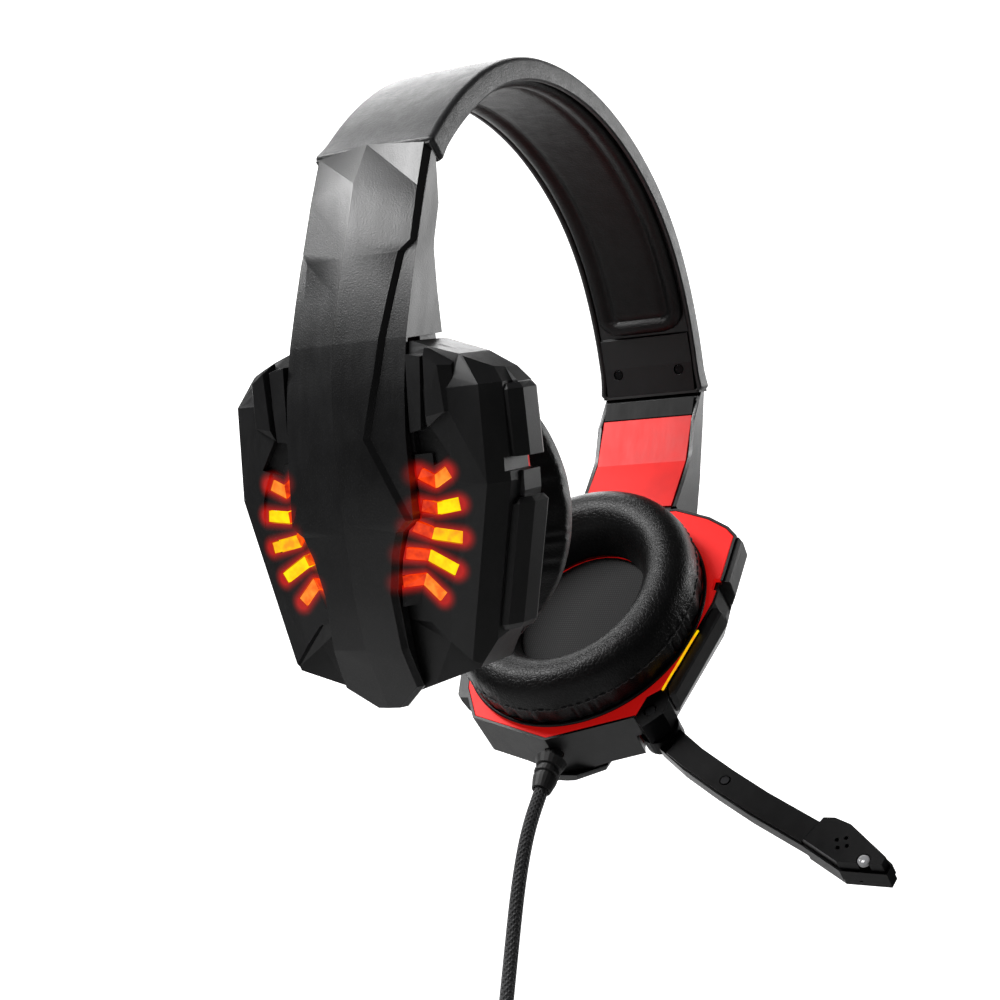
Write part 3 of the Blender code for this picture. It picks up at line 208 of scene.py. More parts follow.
def leather(name, colour, rough, pore, crease, depth=0.5, gloss=0.5, coat=0.12):
    """Coated leathery skin: pebbled pores, soft creases and a worn sheen on the crowns."""
    look = Look(name)
    pores = look.cells(pore)
    edges = look.cells(pore * 0.62, None, "DISTANCE_TO_EDGE")
    folds = look.noise(crease, 4.0, 0.62)
    broad = look.noise(30.0, 3.0, 0.6)
    look.use(Base_Color=look.ramp(broad, (0.3, shade(colour, 0.8)), (0.72, shade(colour, 1.25))))
    look.use(Roughness=look.math("ADD", look.spread(folds, 0.3, 0.7, rough + 0.05, rough - 0.05),
                                 look.spread(pores, 0.0, 0.6, 0.04, -0.03)))
    height = look.math("ADD", look.math("MULTIPLY", look.spread(edges, 0.0, 0.14, 0.0, 1.0, True), 0.6),
                       look.math("MULTIPLY", pores, -0.35))
    under = look.bump(folds, 0.35, 0.0005)
    look.use(Normal=look.bump(height, depth, 0.00016, under))
    look.set(Specular_IOR_Level=gloss, Coat_Weight=coat, Coat_Roughness=0.42)
    return look


def metal(name, colour, rough):
    look = Look(name)
    lines = look.noise(900.0, 3.0, 0.6, look.place((1.0, 0.06, 1.0)))
    look.use(Roughness=look.spread(lines, 0.3, 0.7, rough - 0.07, rough + 0.09))
    look.use(Base_Color=look.ramp(lines, (0.3, shade(colour, 0.85)), (0.7, colour)))
    look.use(Normal=look.bump(lines, 0.1, 0.00005))
    look.set(Metallic=1.0)
    return look


def cloth(name, colour, mesh=2400.0):
    look = Look(name)
    vector = look.place()
    warp = look.node("ShaderNodeTexWave", bands_direction="Y")
    weft = look.node("ShaderNodeTexWave", bands_direction="Z")
    for wave in (warp, weft):
        wave.inputs["Scale"].default_value = mesh / 6.283
        wave.inputs["Distortion"].default_value = 0.4
        look.link(vector, wave.inputs["Vector"])
    weave = look.math("MULTIPLY", warp.outputs["Fac"], weft.outputs["Fac"])
    look.use(Base_Color=look.ramp(weave, (0.0, shade(colour, 0.55)), (0.8, shade(colour, 1.5))))
    look.use(Normal=look.bump(weave, 0.5, 0.0002))
    look.set(Roughness=0.92, Sheen_Weight=0.25, Sheen_Roughness=0.5)
    return look


def cup_point(side, w, y, s):
    """World point in metres from cup coordinates in millimetres."""
    x = CUP_FOOT[0] + s * math.sin(CUP_TILT) + w * math.cos(CUP_TILT)
    z = CUP_FOOT[1] + s * math.cos(CUP_TILT) - w * math.sin(CUP_TILT)
    return Vector((side * x, y, z)) * MM


def window_spines():
    """The middle line of each pane, as ((y, s), (y, s))."""
    lines = []
    for y, s, out_length, out_degrees, in_length, in_degrees in WINDOWS:
        for length, degrees in ((out_length, out_degrees), (in_length, in_degrees)):
            angle = math.radians(degrees)
            lines.append(((y, s), (y + length * math.cos(angle), s + length * math.sin(angle))))
    return lines


def add_glow(look, side, strength):
    """Red light spilling on the plastic around the lit windows."""
    coords = look.node("ShaderNodeTexCoord")
    foot = look.node("ShaderNodeVectorMath", operation="SUBTRACT")
    look.link(coords.outputs["Object"], foot.inputs[0])
    foot.inputs[1].default_value = (side * CUP_FOOT[0] * MM, 0.0, CUP_FOOT[1] * MM)
    parts = look.node("ShaderNodeSeparateXYZ")
    look.link(foot.outputs[0], parts.inputs[0])
    height = look.math("ADD", look.math("MULTIPLY", parts.outputs["X"], side * math.sin(CUP_TILT) / MM),
                       look.math("MULTIPLY", parts.outputs["Z"], math.cos(CUP_TILT) / MM))
    across = look.math("MULTIPLY", look.math("ABSOLUTE", parts.outputs["Y"]), 1.0 / MM)
    here = look.node("ShaderNodeCombineXYZ")
    look.link(across, here.inputs["X"])
    look.link(height, here.inputs["Y"])
    nearest = None
    for (y0, s0), (y1, s1) in window_spines():
        way = Vector((y1 - y0, s1 - s0, 0.0))
        offset = look.node("ShaderNodeVectorMath", operation="SUBTRACT")
        look.link(here.outputs[0], offset.inputs[0])
        offset.inputs[1].default_value = (y0, s0, 0.0)
        dot = look.node("ShaderNodeVectorMath", operation="DOT_PRODUCT")
        look.link(offset.outputs[0], dot.inputs[0])
        dot.inputs[1].default_value = tuple(way / way.length_squared)
        share = look.math("ADD", dot.outputs["Value"], 0.0, clamp=True)
        foot_point = look.node("ShaderNodeVectorMath", operation="SCALE")
        foot_point.inputs[0].default_value = tuple(way)
        look.link(share, foot_point.inputs["Scale"])
        away = look.node("ShaderNodeVectorMath", operation="DISTANCE")
        look.link(offset.outputs[0], away.inputs[0])
        look.link(foot_point.outputs[0], away.inputs[1])
        distance = away.outputs["Value"]
        nearest = look.math("MINIMUM", nearest, distance) if nearest else distance
    core = look.spread(nearest, 1.8, 4.8, 1.0, 0.0)
    glow = look.math("MULTIPLY", look.math("POWER", core, 2.3), strength)
    look.shader.inputs["Emission Color"].default_value = (1.0, 0.012, 0.006, 1.0)
    look.use(Emission_Strength=glow)
    return look


def lamp_look(name, dim, bright):
    """A lit pane of clear plastic: the light ripples through it, so its colour drifts a little."""
    look = Look(name)
    ripple = look.noise(300.0, 2.0, 0.5)
    colour = look.ramp(ripple, (0.35, dim), (0.62, bright))
    look.use(Emission_Color=colour)
    look.set(Base_Color=(0.02, 0.004, 0.002, 1.0))
    look.use(Normal=look.bump(ripple, 0.1, 0.0002))
    look.set(Emission_Strength=1.0, Roughness=0.25)
    return look


def braid_look():
    """Fine diagonal braid along the cord, from its own lengthwise and round attributes."""
    look = Look("braided_cord")
    along = look.attribute("along")
    around = look.attribute("around")
    turns = look.math("MULTIPLY", around, 8.0 * math.pi * 2.0)
    pitch = look.math("MULTIPLY", along, 2.0 * math.pi / 1.9)
    one = look.math("SINE", look.math("ADD", turns, pitch))
    two = look.math("SINE", look.math("SUBTRACT", turns, pitch))
    weave = look.math("MAXIMUM", one, two)
    fuzz = look.noise(3000.0, 2.0, 0.6)
    look.use(Base_Color=look.ramp(look.spread(weave, -1.0, 1.0, 0.0, 1.0),
                                  (0.0, (0.004, 0.004, 0.004)), (1.0, (0.030, 0.030, 0.032))))
    look.use(Normal=look.bump(look.math("ADD", weave, look.math("MULTIPLY", fuzz, 0.6)), 0.7, 0.0003))
    look.set(Roughness=0.62, Sheen_Weight=0.2, Sheen_Roughness=0.4)
    return look


BLACK = (0.0052, 0.0052, 0.0056)
LOOKS = {
    "satin": moulded("satin_black", BLACK, 0.37),
    "satin_fine": moulded("satin_black_fine", (0.0035, 0.0035, 0.0038), 0.33, 3200.0, 0.3, 0.10),
    "skin": leather("grey_skin", (0.014, 0.014, 0.015), 0.47, 1500.0, 240.0, 0.45),
    "leather": leather("soft_leather", (0.0022, 0.0022, 0.0024), 0.42, 1250.0, 160.0, 0.5, 0.22, 0.03),
    "pad": leather("pad_leather", (0.0030, 0.0030, 0.0032), 0.45, 1400.0, 180.0, 0.4, 0.28, 0.0),
    "red": moulded("red_plastic", (0.74, 0.010, 0.008), 0.50, 2600.0, 0.3, 0.25),
    "plate": moulded("red_plate_painted_glow", (0.80, 0.010, 0.008), 0.50, 2600.0, 0.3, 0.25),
    "steel": metal("steel", (0.42, 0.42, 0.43), 0.32),
    "screw": metal("dark_screw", (0.018, 0.018, 0.019), 0.36),
    "shell_metal": metal("plug_metal", (0.72, 0.70, 0.66), 0.24),
    "cloth": cloth("speaker_cloth", (0.006, 0.006, 0.0063)),
    "thread": cloth("seam_thread", (0.02, 0.02, 0.021), 3000.0),
    "tie": cloth("tie_weave", (0.02, 0.02, 0.02), 1500.0),
    "trim": moulded("trim_black", (0.003, 0.003, 0.003), 0.62, 2600.0, 0.5, 0.2),
    "rubber": moulded("sleeve_rubber", (0.012, 0.012, 0.012), 0.56, 1800.0, 0.6),
    "grey": moulded("driver_grey", (0.09, 0.09, 0.10), 0.45),
    "film": moulded("diaphragm_film", (0.30, 0.30, 0.30), 0.3),
    "board": moulded("circuit_green", (0.02, 0.12, 0.05), 0.45, 400.0),
    "lens": moulded("clear_lens", (0.35, 0.35, 0.36), 0.08, 900.0, 0.05, 0.9),
    "lamp": lamp_look("pane_yellow", (1.0, 0.60, 0.0), (1.0, 0.86, 0.0)),
    "lamp_gold": lamp_look("pane_gold", (1.0, 0.36, 0.01), (1.0, 0.66, 0.0)),
    "lamp_amber": lamp_look("pane_amber", (1.0, 0.16, 0.01), (1.0, 0.33, 0.03)),
    "lamp_red": lamp_look("pane_red", (0.55, 0.012, 0.0), (1.0, 0.06, 0.0)),
    "braid": braid_look(),
    "case_left": add_glow(moulded("case_left", BLACK, 0.40), 1, 0.45),
    "case_right": add_glow(moulded("case_right", BLACK, 0.40), -1, 0.45),
    "spine_left": add_glow(moulded("spine_left", BLACK, 0.34, 2000.0, 0.8), 1, 0.1),
    "spine_right": add_glow(moulded("spine_right", BLACK, 0.34, 2000.0, 0.8), -1, 0.1),
}


# Painted glow: the red plate gets a faint red emission of its own, standing in for the windows' light shining in it.
LOOKS["plate"].set(Emission_Color=(1.0, 0.012, 0.010, 1.0), Emission_Strength=0.28)


# ------------------------------------------------------------------ mesh helpers
def mesh_piece(name, points, faces, look, smooth=True, angle=40.0):
    mesh = bpy.data.meshes.new(name)
    mesh.from_pydata(points, [], faces)
    bm = bmesh.new()
    bm.from_mesh(mesh)
    bmesh.ops.recalc_face_normals(bm, faces=bm.faces)
    bm.to_mesh(mesh)
    bm.free()
    if smooth:
        mesh.shade_smooth()
        mesh.set_sharp_from_angle(angle=math.radians(angle))
    mesh.materials.append(look.material)
    made = bpy.data.objects.new(name, mesh)
    bpy.context.scene.collection.objects.link(made)
    return made


def sweep(name, loops, look, ring=False, angle=40.0):
    count = len(loops[0])
    points = [Vector(p) for loop in loops for p in loop]
    faces = []
    spans = len(loops) if ring else len(loops) - 1
    for row in range(spans):
        start, after = row * count, ((row + 1) % len(loops)) * count
        for i in range(count):
            j = (i + 1) % count
            faces.append((start + i, start + j, after + j, after + i))
    if not ring:
        faces.append(tuple(range(count)))
        faces.append(tuple(range(len(points) - count, len(points))))
    return mesh_piece(name, points, faces, look, True, angle)


def refined(node, look, bevel=0.28, segments=2, limit=14.0, crisp=9.0, flat=True, curved=False):
    """A copy of a CAD node with softened edges, standing in for it."""
    source = frame["nodes"][node]
    mesh = source.data.copy()
    mesh.transform(source.matrix_world)
    bm = bmesh.new()
    bm.from_mesh(mesh)
    bmesh.ops.remove_doubles(bm, verts=bm.verts, dist=0.00002)
    if flat:
        bmesh.ops.dissolve_limit(bm, angle_limit=math.radians(0.5), verts=bm.verts, edges=bm.edges)
    bmesh.ops.recalc_face_normals(bm, faces=bm.faces)
    bm.to_mesh(mesh)
    bm.free()
    made = bpy.data.objects.new(node + "_piece", mesh)
    bpy.context.scene.collection.objects.link(made)
    mesh.materials.clear()
    mesh.materials.append(look.material)
    mesh.shade_smooth()
    mesh.set_sharp_from_angle(angle=math.radians(crisp))
    if curved:
        ease_across(mesh)
    if bevel:
        soften = made.modifiers.new("soften", "BEVEL")
        soften.width = bevel * MM
        soften.segments = segments
        soften.limit_method = "ANGLE"
        soften.angle_limit = math.radians(limit)
        soften.use_clamp_overlap = True
        soften.harden_normals = True
        soften.miter_outer = "MITER_ARC"
    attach(made, source_body(node))
    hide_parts(node)
    return made


def ease_across(mesh):
    """Keep lengthwise creases sharp, and smooth the shallow ones that run across the arm."""
    bm = bmesh.new()
    bm.from_mesh(mesh)
    for edge in bm.edges:
        if len(edge.link_faces) == 2:
            bend = edge.calc_face_angle(0.0)
            way = (edge.verts[1].co - edge.verts[0].co).normalized()
            across = abs(way.y) > 0.35
            edge.smooth = bend < math.radians(27.0 if across else 5.0)
    bm.to_mesh(mesh)
    bm.free()


def source_body(node):
    for body, members in frame["record"]["behaviour"]["bodies"].items():
        if node in members:
            return body
    return "headband"


def band_point(along, depth):
    """World (x, z) in millimetres at an arc length from the crown and a depth below the skin."""
    sign = 1.0 if along >= 0 else -1.0
    left = abs(along)
    x, z, heading = 0.0, float(CROWN_DROP), 0.0
    for radius, degrees in BAND_ARCS:
        step = min(left, radius * math.radians(degrees)) / radius
        x += radius * (math.sin(heading + step) - math.sin(heading))
        z += radius * (math.cos(heading + step) - math.cos(heading))
        heading += step
        left -= step * radius
        if left <= 0.0:
            break
    return sign * (x - depth * math.sin(heading)), z - depth * math.cos(heading)


BAND_LENGTH = sum(radius * math.radians(degrees) for radius, degrees in BAND_ARCS)


def round_corner(centre, radius, first, last, steps):
    result = []
    for i in range(steps + 1):
        angle = math.radians(first + (last - first) * i / steps)
        result.append((centre[0] + radius * math.cos(angle), centre[1] - radius * math.sin(angle)))
    return result


# ------------------------------------------------------------------ headband
def build_headband_cover():
    """The skin-covered outer shell: crowned, with turned walls front and rear."""
    half = BAND_WIDTH / 2.0
    right = round_corner((half - 1.7, 2.0), 1.7, 92.0, 0.0, 5)
    section = [(0.0, 0.02), (half * 0.5, 0.08)] + right
    section += [(half, 5.2), (half - 0.02, 7.3), (half - 0.5, 7.86), (half - 1.3, 7.88), (half - 1.86, 7.3)]
    section += [(half - 1.9, 5.0), (half - 1.9, 2.4), (half * 0.5, 2.1)]
    loop = [(-y, d) for y, d in reversed(section) if y > 0.001] + section
    loop = loop[:]
    count = 110
    stations = [BAND_LENGTH * (2.0 * i / count - 1.0) for i in range(count + 1)]
    ends = [BAND_LENGTH - k * 0.35 for k in range(1, 6)]
    stations = sorted(stations + ends + [-a for a in ends])
    loops = []
    for along in stations:
        left = BAND_LENGTH - abs(along)
        swell = COVER_BEAD * (1.0 - min(1.0, left / 9.0)) ** 1.5
        pinch = 1.1 * max(0.0, 1.0 - left / 1.6) ** 2
        row = []
        for y, depth in loop:
            x, z = band_point(along, depth + ((pinch - swell) if depth < 4.0 else 0.0))
            row.append(Vector((x, y * (1.0 + (swell - pinch) / half), z)) * MM)
        loops.append(row)
    cover = sweep("headband_cover_skin", loops, LOOKS["skin"])
    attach(cover, "headband")
    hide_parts("headband_cover")


def pad_height(along, y, reach, half):
    """How far the pad stands off its base: a padded border, a groove and a soft middle."""
    corner = 9.0
    dx = max(0.0, abs(along) - (reach - corner))
    dy = max(0.0, abs(y) - (half - corner))
    edge = corner - math.hypot(dx, dy)
    edge = min(edge, reach - abs(along), half - abs(y))
    if edge <= 0.0:
        return 0.0
    border = 5.6
    if edge < border:
        swell = math.sin(math.pi * min(1.0, edge / border)) ** 0.55
        return 0.25 + 1.75 * swell
    rise = min(1.0, (edge - border) / 3.2)
    return 0.25 + 1.05 * math.sin(rise * math.pi / 2.0)


def build_headband_pad():
    half, reach = BAND_WIDTH / 2.0 - 2.7, BAND_LENGTH - 24.5
    top = 6.95
    rows, columns = 210, 44
    points = []
    faces = []
    for i in range(rows + 1):
        along = reach * (2.0 * i / rows - 1.0)
        for j in range(columns + 1):
            y = half * math.sin(math.pi * (j / columns - 0.5))
            corner = 9.0
            over = max(0.0, abs(along) - (reach - corner))
            limit = half - corner + math.sqrt(max(0.0, corner * corner - over * over))
            y = max(-limit, min(limit, y))
            puff = pad_height(along, y, reach, half)
            wave = noise.noise(Vector((along * 0.11, y * 0.16, 3.0))) * 0.10
            wave += noise.noise(Vector((along * 0.45, y * 0.30, 9.0))) * 0.05
            x, z = band_point(along, top + 0.35 + min(2.0, max(0.0, puff + wave * min(1.0, puff))))
            points.append(Vector((x, y, z)) * MM)
    base = len(points)
    for i in range(rows + 1):
        along = reach * (2.0 * i / rows - 1.0)
        for j in range(columns + 1):
            shown = points[i * (columns + 1) + j]
            x, z = band_point(along, top)
            points.append(Vector((x * MM, shown.y, z * MM)))
    for i in range(rows):
        for j in range(columns):
            a = i * (columns + 1) + j
            b = a + columns + 1
            faces.append((a, a + 1, b + 1, b))
            faces.append((base + a, base + b, base + b + 1, base + a + 1))
    for i in range(rows):
        for a in (i * (columns + 1), i * (columns + 1) + columns):
            b = a + columns + 1
            faces.append((a, b, base + b, base + a))
    for j in range(columns):
        for a in (j, rows * (columns + 1) + j):
            faces.append((a, a + 1, base + a + 1, base + a))
    pad = mesh_piece("headband_pad_soft", points, faces, LOOKS["pad"], True, 60.0)
    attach(pad, "headband")
    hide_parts("headband_pad")


def build_headband():
    build_headband_cover()
    build_headband_pad()
    refined("headband_liner", LOOKS["satin"], 0.2)
    refined("spring_band", LOOKS["steel"], 0.0)
    for tag in ("left", "right"):
        refined("slider_guide_" + tag, LOOKS["satin"], 0.15)
        for place in ("front", "rear"):
            refined("band_screw_%s_%s" % (tag, place), LOOKS["screw"], 0.22, 3)


# ------------------------------------------------------------------ ear cushions
def closed_curve(points, steps):
    """Catmull-Rom through closed control points."""
    result = []
    count = len(points)
    for i in range(count):
        p0, p1, p2, p3 = (Vector(points[(i + k - 1) % count]) for k in range(4))
        for step in range(steps):
            t = step / steps
            result.append(0.5 * ((2.0 * p1) + (p2 - p0) * t + (2.0 * p0 - 5.0 * p1 + 4.0 * p2 - p3) * t * t
                                 + (3.0 * p1 - p0 - 3.0 * p2 + p3) * t ** 3))
    return result


def build_cushion(side, tag):
    """Soft oval ring: smooth crest, gathered folds where the skin tucks under at the outside."""
    profile = [(0.02, -0.2), (0.30, 0.0), (0.90, 0.0), (0.965, -0.9), (1.0, -4.6), (0.985, -9.4), (0.90, -14.6),
               (0.72, -17.6), (0.52, -18.3), (0.32, -17.0), (0.16, -13.6), (0.06, -9.0), (0.01, -4.5)]
    curve = closed_curve(profile, 4)
    around = 420
    loops = []
    for step in range(around):
        angle = 2.0 * math.pi * step / around
        cosine, sine = math.cos(angle), math.sin(angle)
        warp = angle * 1.0 + 0.05 * math.sin(angle * 7.0 + 1.3) + 0.03 * math.sin(angle * 13.0)
        lively = 0.55 + 0.75 * noise.noise(Vector((cosine * 2.1, sine * 2.1, side * 4.0 + 8.0)))
        pleat = math.sin(warp * 46.0) + 0.5 * math.sin(warp * 71.0 + 2.0 * math.sin(angle * 3.0))
        pleat = max(-1.0, pleat) * max(0.15, lively)
        slack = noise.noise(Vector((cosine * 5.0, sine * 5.0, side * 2.0)))
        loop = []
        for share, drop in curve:
            gather = math.exp(-((drop + 3.4) / 4.4) ** 2) * (1.0 if share > 0.6 else 0.0)
            tuck = math.exp(-((drop + 7.0) / 5.0) ** 2) * (1.0 if share < 0.3 else 0.0)
            long_fold = math.exp(-((drop + 9.0) / 4.0) ** 2) * (1.0 if share > 0.6 else 0.0)
            push = -0.95 * gather * (0.5 + 0.85 * pleat) + 0.35 * long_fold * slack + 0.3 * tuck * slack
            push += 0.10 * noise.noise(Vector((cosine * 9.0, sine * 9.0, drop * 0.35)))
            out = (CUSHION_HALF[0] * cosine, CUSHION_HALF[1] * sine)
            hole = (CUSHION_OPENING[0] * cosine, CUSHION_OPENING[1] * sine)
            y = hole[0] + (out[0] - hole[0]) * share + push * cosine
            if side < 0 and share > 0.5:
                y -= 5.0 * max(0.0, -cosine) * min(1.0, -drop / 7.0 if drop < 0.0 else 0.0)
            s = hole[1] + (out[1] - hole[1]) * share + push * sine
            w = CUSHION_BASE + drop + 0.25 * gather * pleat
            loop.append(cup_point(side, w, y, CUSHION_CENTRE + s))
        loops.append(loop)
    body = "arm_" + tag
    cushion = sweep("ear_cushion_soft_" + tag, loops, LOOKS["leather"], True, 180.0)
    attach(cushion, body)
    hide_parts("ear_cushion_" + tag)

    loops = []
    for step in range(300):
        angle = 2.0 * math.pi * step / 300
        cosine, sine = math.cos(angle), math.sin(angle)
        extra = 4.4 * max(0.0, -cosine) if side < 0 else 0.0
        lift = 0.16 if step % 3 else -0.35
        loop = []
        for k in range(6):
            turn = 2.0 * math.pi * k / 6
            grow = -0.25 + lift + 0.34 * math.cos(turn)
            w = CUSHION_BASE - 7.6 + 0.34 * math.sin(turn)
            loop.append(cup_point(side, w, (CUSHION_HALF[0] + grow) * cosine - extra,
                                  CUSHION_CENTRE + (CUSHION_HALF[1] + grow) * sine))
        loops.append(loop)
    stitch = sweep("cushion_stitch_" + tag, loops, LOOKS["thread"], True, 180.0)
    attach(stitch, body)

    loops = []
    for step in range(260):
        angle = 2.0 * math.pi * step / 260
        cosine, sine = math.cos(angle), math.sin(angle)
        bead = 0.72 + 0.07 * math.sin(angle * 130.0)
        loop = []
        for k in range(8):
            turn = 2.0 * math.pi * k / 8
            grow = bead * math.cos(turn) - 0.3
            w = CUSHION_BASE + 0.35 + bead * math.sin(turn)
            loop.append(cup_point(side, w, (CUSHION_HALF[0] + grow) * cosine,
                                  CUSHION_CENTRE + (CUSHION_HALF[1] + grow) * sine))
        loops.append(loop)
    piping = sweep("cushion_piping_" + tag, loops, LOOKS["leather"], True, 180.0)
    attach(piping, body)


# ------------------------------------------------------------------ cups
def build_lamps(node, side, tag):
    """The five lit windows of one fan, each pane with its own warmth."""
    piece = refined(node, LOOKS["lamp"], 0.0, flat=False)
    shades = ("lamp", "lamp_gold", "lamp_amber", "lamp_red")
    rows = ((2, 3), (0, 3), (1, 3), (0, 3), (2, 3))
    mesh = piece.data
    mesh.materials.clear()
    for shade_name in shades:
        mesh.materials.append(LOOKS[shade_name].material)
    lines = window_spines()
    for face in mesh.polygons:
        centre = face.center / MM
        x, z = side * centre.x - CUP_FOOT[0], centre.z - CUP_FOOT[1]
        here = Vector((abs(centre.y), x * math.sin(CUP_TILT) + z * math.cos(CUP_TILT)))
        best, pick = 1e9, 0
        for i, ((y0, s0), (y1, s1)) in enumerate(lines):
            start, way = Vector((y0, s0)), Vector((y1 - y0, s1 - s0))
            share = max(0.05, min(1.0, (here - start).dot(way) / way.length_squared))
            away = (here - start - way * share).length
            if away < best:
                best, pick = away, rows[i // 2][i % 2]
        face.material_index = pick
    return piece


def build_cup(side, tag):
    case, spine = LOOKS["case_" + tag], LOOKS["spine_" + tag]
    refined("cup_shell_" + tag, case, 0.42)
    refined("spine_cover_" + tag, spine, 0.45, curved=True)
    refined("ear_plate_" + tag, LOOKS["plate"], 0.2)
    refined("arm_inlay_" + tag, LOOKS["red"], 0.2)
    refined("arm_end_trim_" + tag, LOOKS["trim"], 0.2)
    refined("arm_frame_" + tag, LOOKS["satin"], 0.2, curved=True)
    refined("cushion_ring_" + tag, LOOKS["satin"], 0.2)
    refined("speaker_cloth_" + tag, LOOKS["cloth"], 0.15)
    refined("driver_basket_" + tag, LOOKS["grey"], 0.1)
    refined("driver_magnet_" + tag, LOOKS["steel"], 0.2)
    refined("driver_diaphragm_" + tag, LOOKS["film"], 0.0)
    refined("lamp_board_" + tag, LOOKS["board"], 0.1)
    refined("slider_strip_" + tag, LOOKS["steel"], 0.1)
    for place in ("front", "rear"):
        build_lamps("light_guide_%s_%s" % (place, tag), side, tag)
    build_cushion(side, tag)


def build_arm_root(side, tag):
    """The web that closes the joint between the arm and the top of the case."""
    loops = []
    for s in (102.4, 105.2):
        loops.append([cup_point(side, w, y, s) for w, y in ((0.6, -17.9), (9.5, -17.9), (9.5, 17.9), (0.6, 17.9))])
    web = sweep("arm_root_" + tag, loops, LOOKS["satin"], False, 20.0)
    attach(web, "arm_" + tag)


def build_edge_glow():
    """The line of light leaking between the red plate and the case, at the front of the left cup."""
    loops = []
    for y, s in ((-43.9, 45.5), (-42.4, 40.0), (-40.6, 32.5), (-38.7, 25.0), (-37.6, 20.5)):
        corners = ((-0.45, -0.25), (-0.45, 0.35), (0.12, 0.35), (0.12, -0.25))
        loops.append([cup_point(1, w, y + out, s) for w, out in corners])
    line = sweep("edge_glow_left", loops, LOOKS["lamp_gold"], False, 60.0)
    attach(line, "arm_left")


def build_band_lip(side):
    """The dark turned lip that closes each end of the headband."""
    loops = []
    half = BAND_WIDTH / 2.0 - 0.35
    for along in (BAND_LENGTH - 0.6, BAND_LENGTH + LIP_REACH):
        loop = []
        for y, depth in ((-half, 0.45), (half, 0.45), (half, 7.5), (-half, 7.5)):
            x, z = band_point(along - 0.0001, depth)
            if along > BAND_LENGTH:
                x0, z0 = band_point(BAND_LENGTH - 1.0, depth)
                x1, z1 = band_point(BAND_LENGTH - 0.001, depth)
                x, z = x1 + (x1 - x0) * LIP_REACH, z1 + (z1 - z0) * LIP_REACH
            loop.append(Vector((side * x, y, z)) * MM)
        loops.append(loop)
    lip = sweep("band_lip_" + ("left" if side > 0 else "right"), loops, LOOKS["rubber"], False, 20.0)
    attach(lip, "headband")


def build_mic_lens():
    """A low glassy dome over the microphone's lamp, seated in its hole."""
    node = frame["nodes"]["mic_lamp_lens"]
    points = [node.matrix_world @ v.co for v in node.data.vertices]
    out = Vector((-math.cos(CUP_TILT), 0.0, math.sin(CUP_TILT)))
    level = max(p.dot(out) for p in points)
    top = [p for p in points if p.dot(out) > level - 0.1 * MM]
    centre = sum(top, Vector()) / len(top)
    across = Vector((0.0, 1.0, 0.0))
    other = out.cross(across)
    reach = max((p - centre).length for p in top)
    loops = []
    for share, rise in ((1.0, -1.0), (1.0, -0.15), (0.93, 0.05), (0.72, 0.26), (0.40, 0.40), (0.10, 0.45)):
        loops.append([centre + out * (rise - 0.35) * MM + (across * math.cos(a) + other * math.sin(a)) * reach * share
                      for a in (2.0 * math.pi * k / 24 for k in range(24))])
    lens = sweep("mic_lamp_dome", loops, LOOKS["lens"], False, 60.0)
    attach(lens, "mic_boom")
    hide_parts("mic_lamp_lens")


def build_microphone():
    for node in ("mic_mount", "boom_shell", "boom_cover", "mic_face"):
        refined(node, LOOKS["satin_fine"], 0.25, 3)
    refined("mic_pivot_pin", LOOKS["screw"], 0.2)
    refined("boom_screw", LOOKS["screw"], 0.2)
    refined("mic_capsule", LOOKS["steel"], 0.15)
    build_mic_lens()


# ------------------------------------------------------------------ cord
def lead_points():
    return [Vector((p[0], p[1], p[2] + CROWN_DROP)) for p in CORD_ROUTE]


def hank_path():
    """The stored length: two layers of long turns, five deep, then the tail."""
    x0 = CORD_ROUTE[-1][0] + HANK_RADIUS - CORD_DIAMETER / 2.0
    z0 = CROWN_DROP - HANK_TOP - HANK_RADIUS - HANK_RUN / 2.0
    outer = HANK_RADIUS - CORD_DIAMETER / 2.0
    inner = outer - CORD_DIAMETER
    depth = CORD_DIAMETER + 0.02
    places = [(outer, 0), (outer, 1), (outer, 2), (inner, 2), (inner, 1), (inner, 0), (inner, -1), (inner, -2),
              (outer, -2), (outer, -1)]
    top, low = z0 + HANK_RUN / 2.0, z0 - HANK_RUN / 2.0
    path = []
    for turn, (radius, layer) in enumerate(places):
        y = layer * depth
        last = turn == len(places) - 1
        for share in (0.0, 0.33, 0.66):
            path.append(Vector((x0 - radius, y, top + (low - top) * share)))
        if last:
            break
        for step in range(0, 9):
            angle = math.pi + math.pi * step / 8
            path.append(Vector((x0 + radius * math.cos(angle), y, low + radius * math.sin(angle))))
        for share in (0.33, 0.66):
            path.append(Vector((x0 + radius, y, low + (top - low) * share)))
        next_radius, next_layer = places[turn + 1]
        for step in range(0, 9):
            share = step / 8
            blend = share * share * (3.0 - 2.0 * share)
            reach = radius + (next_radius - radius) * blend
            angle = math.pi * share
            path.append(Vector((x0 + reach * math.cos(angle), y + (next_layer * depth - y) * blend,
                                top + reach * math.sin(angle))))
        path.pop()
    x = x0 - outer
    y = places[-1][1] * depth
    path.append(Vector((x, y, low)))
    end = z0 - HANK_RUN / 2.0 - 31.0
    for share in (0.35, 0.7, 1.0):
        blend = share * share * (3.0 - 2.0 * share)
        path.append(Vector((x, y * (1.0 - blend), low + (end - low) * share)))
    return path


def smooth_path(points, spacing):
    """Catmull-Rom through the points, resampled about evenly."""
    dense = []
    for i in range(len(points) - 1):
        p0 = points[max(0, i - 1)]
        p1, p2 = points[i], points[i + 1]
        p3 = points[min(len(points) - 1, i + 2)]
        pieces = max(2, int((p2 - p1).length / spacing) + 1)
        for step in range(pieces):
            t = step / pieces
            dense.append(0.5 * ((2.0 * p1) + (p2 - p0) * t + (2.0 * p0 - 5.0 * p1 + 4.0 * p2 - p3) * t * t
                                + (3.0 * p1 - p0 - 3.0 * p2 + p3) * t ** 3))
    dense.append(points[-1])
    return dense


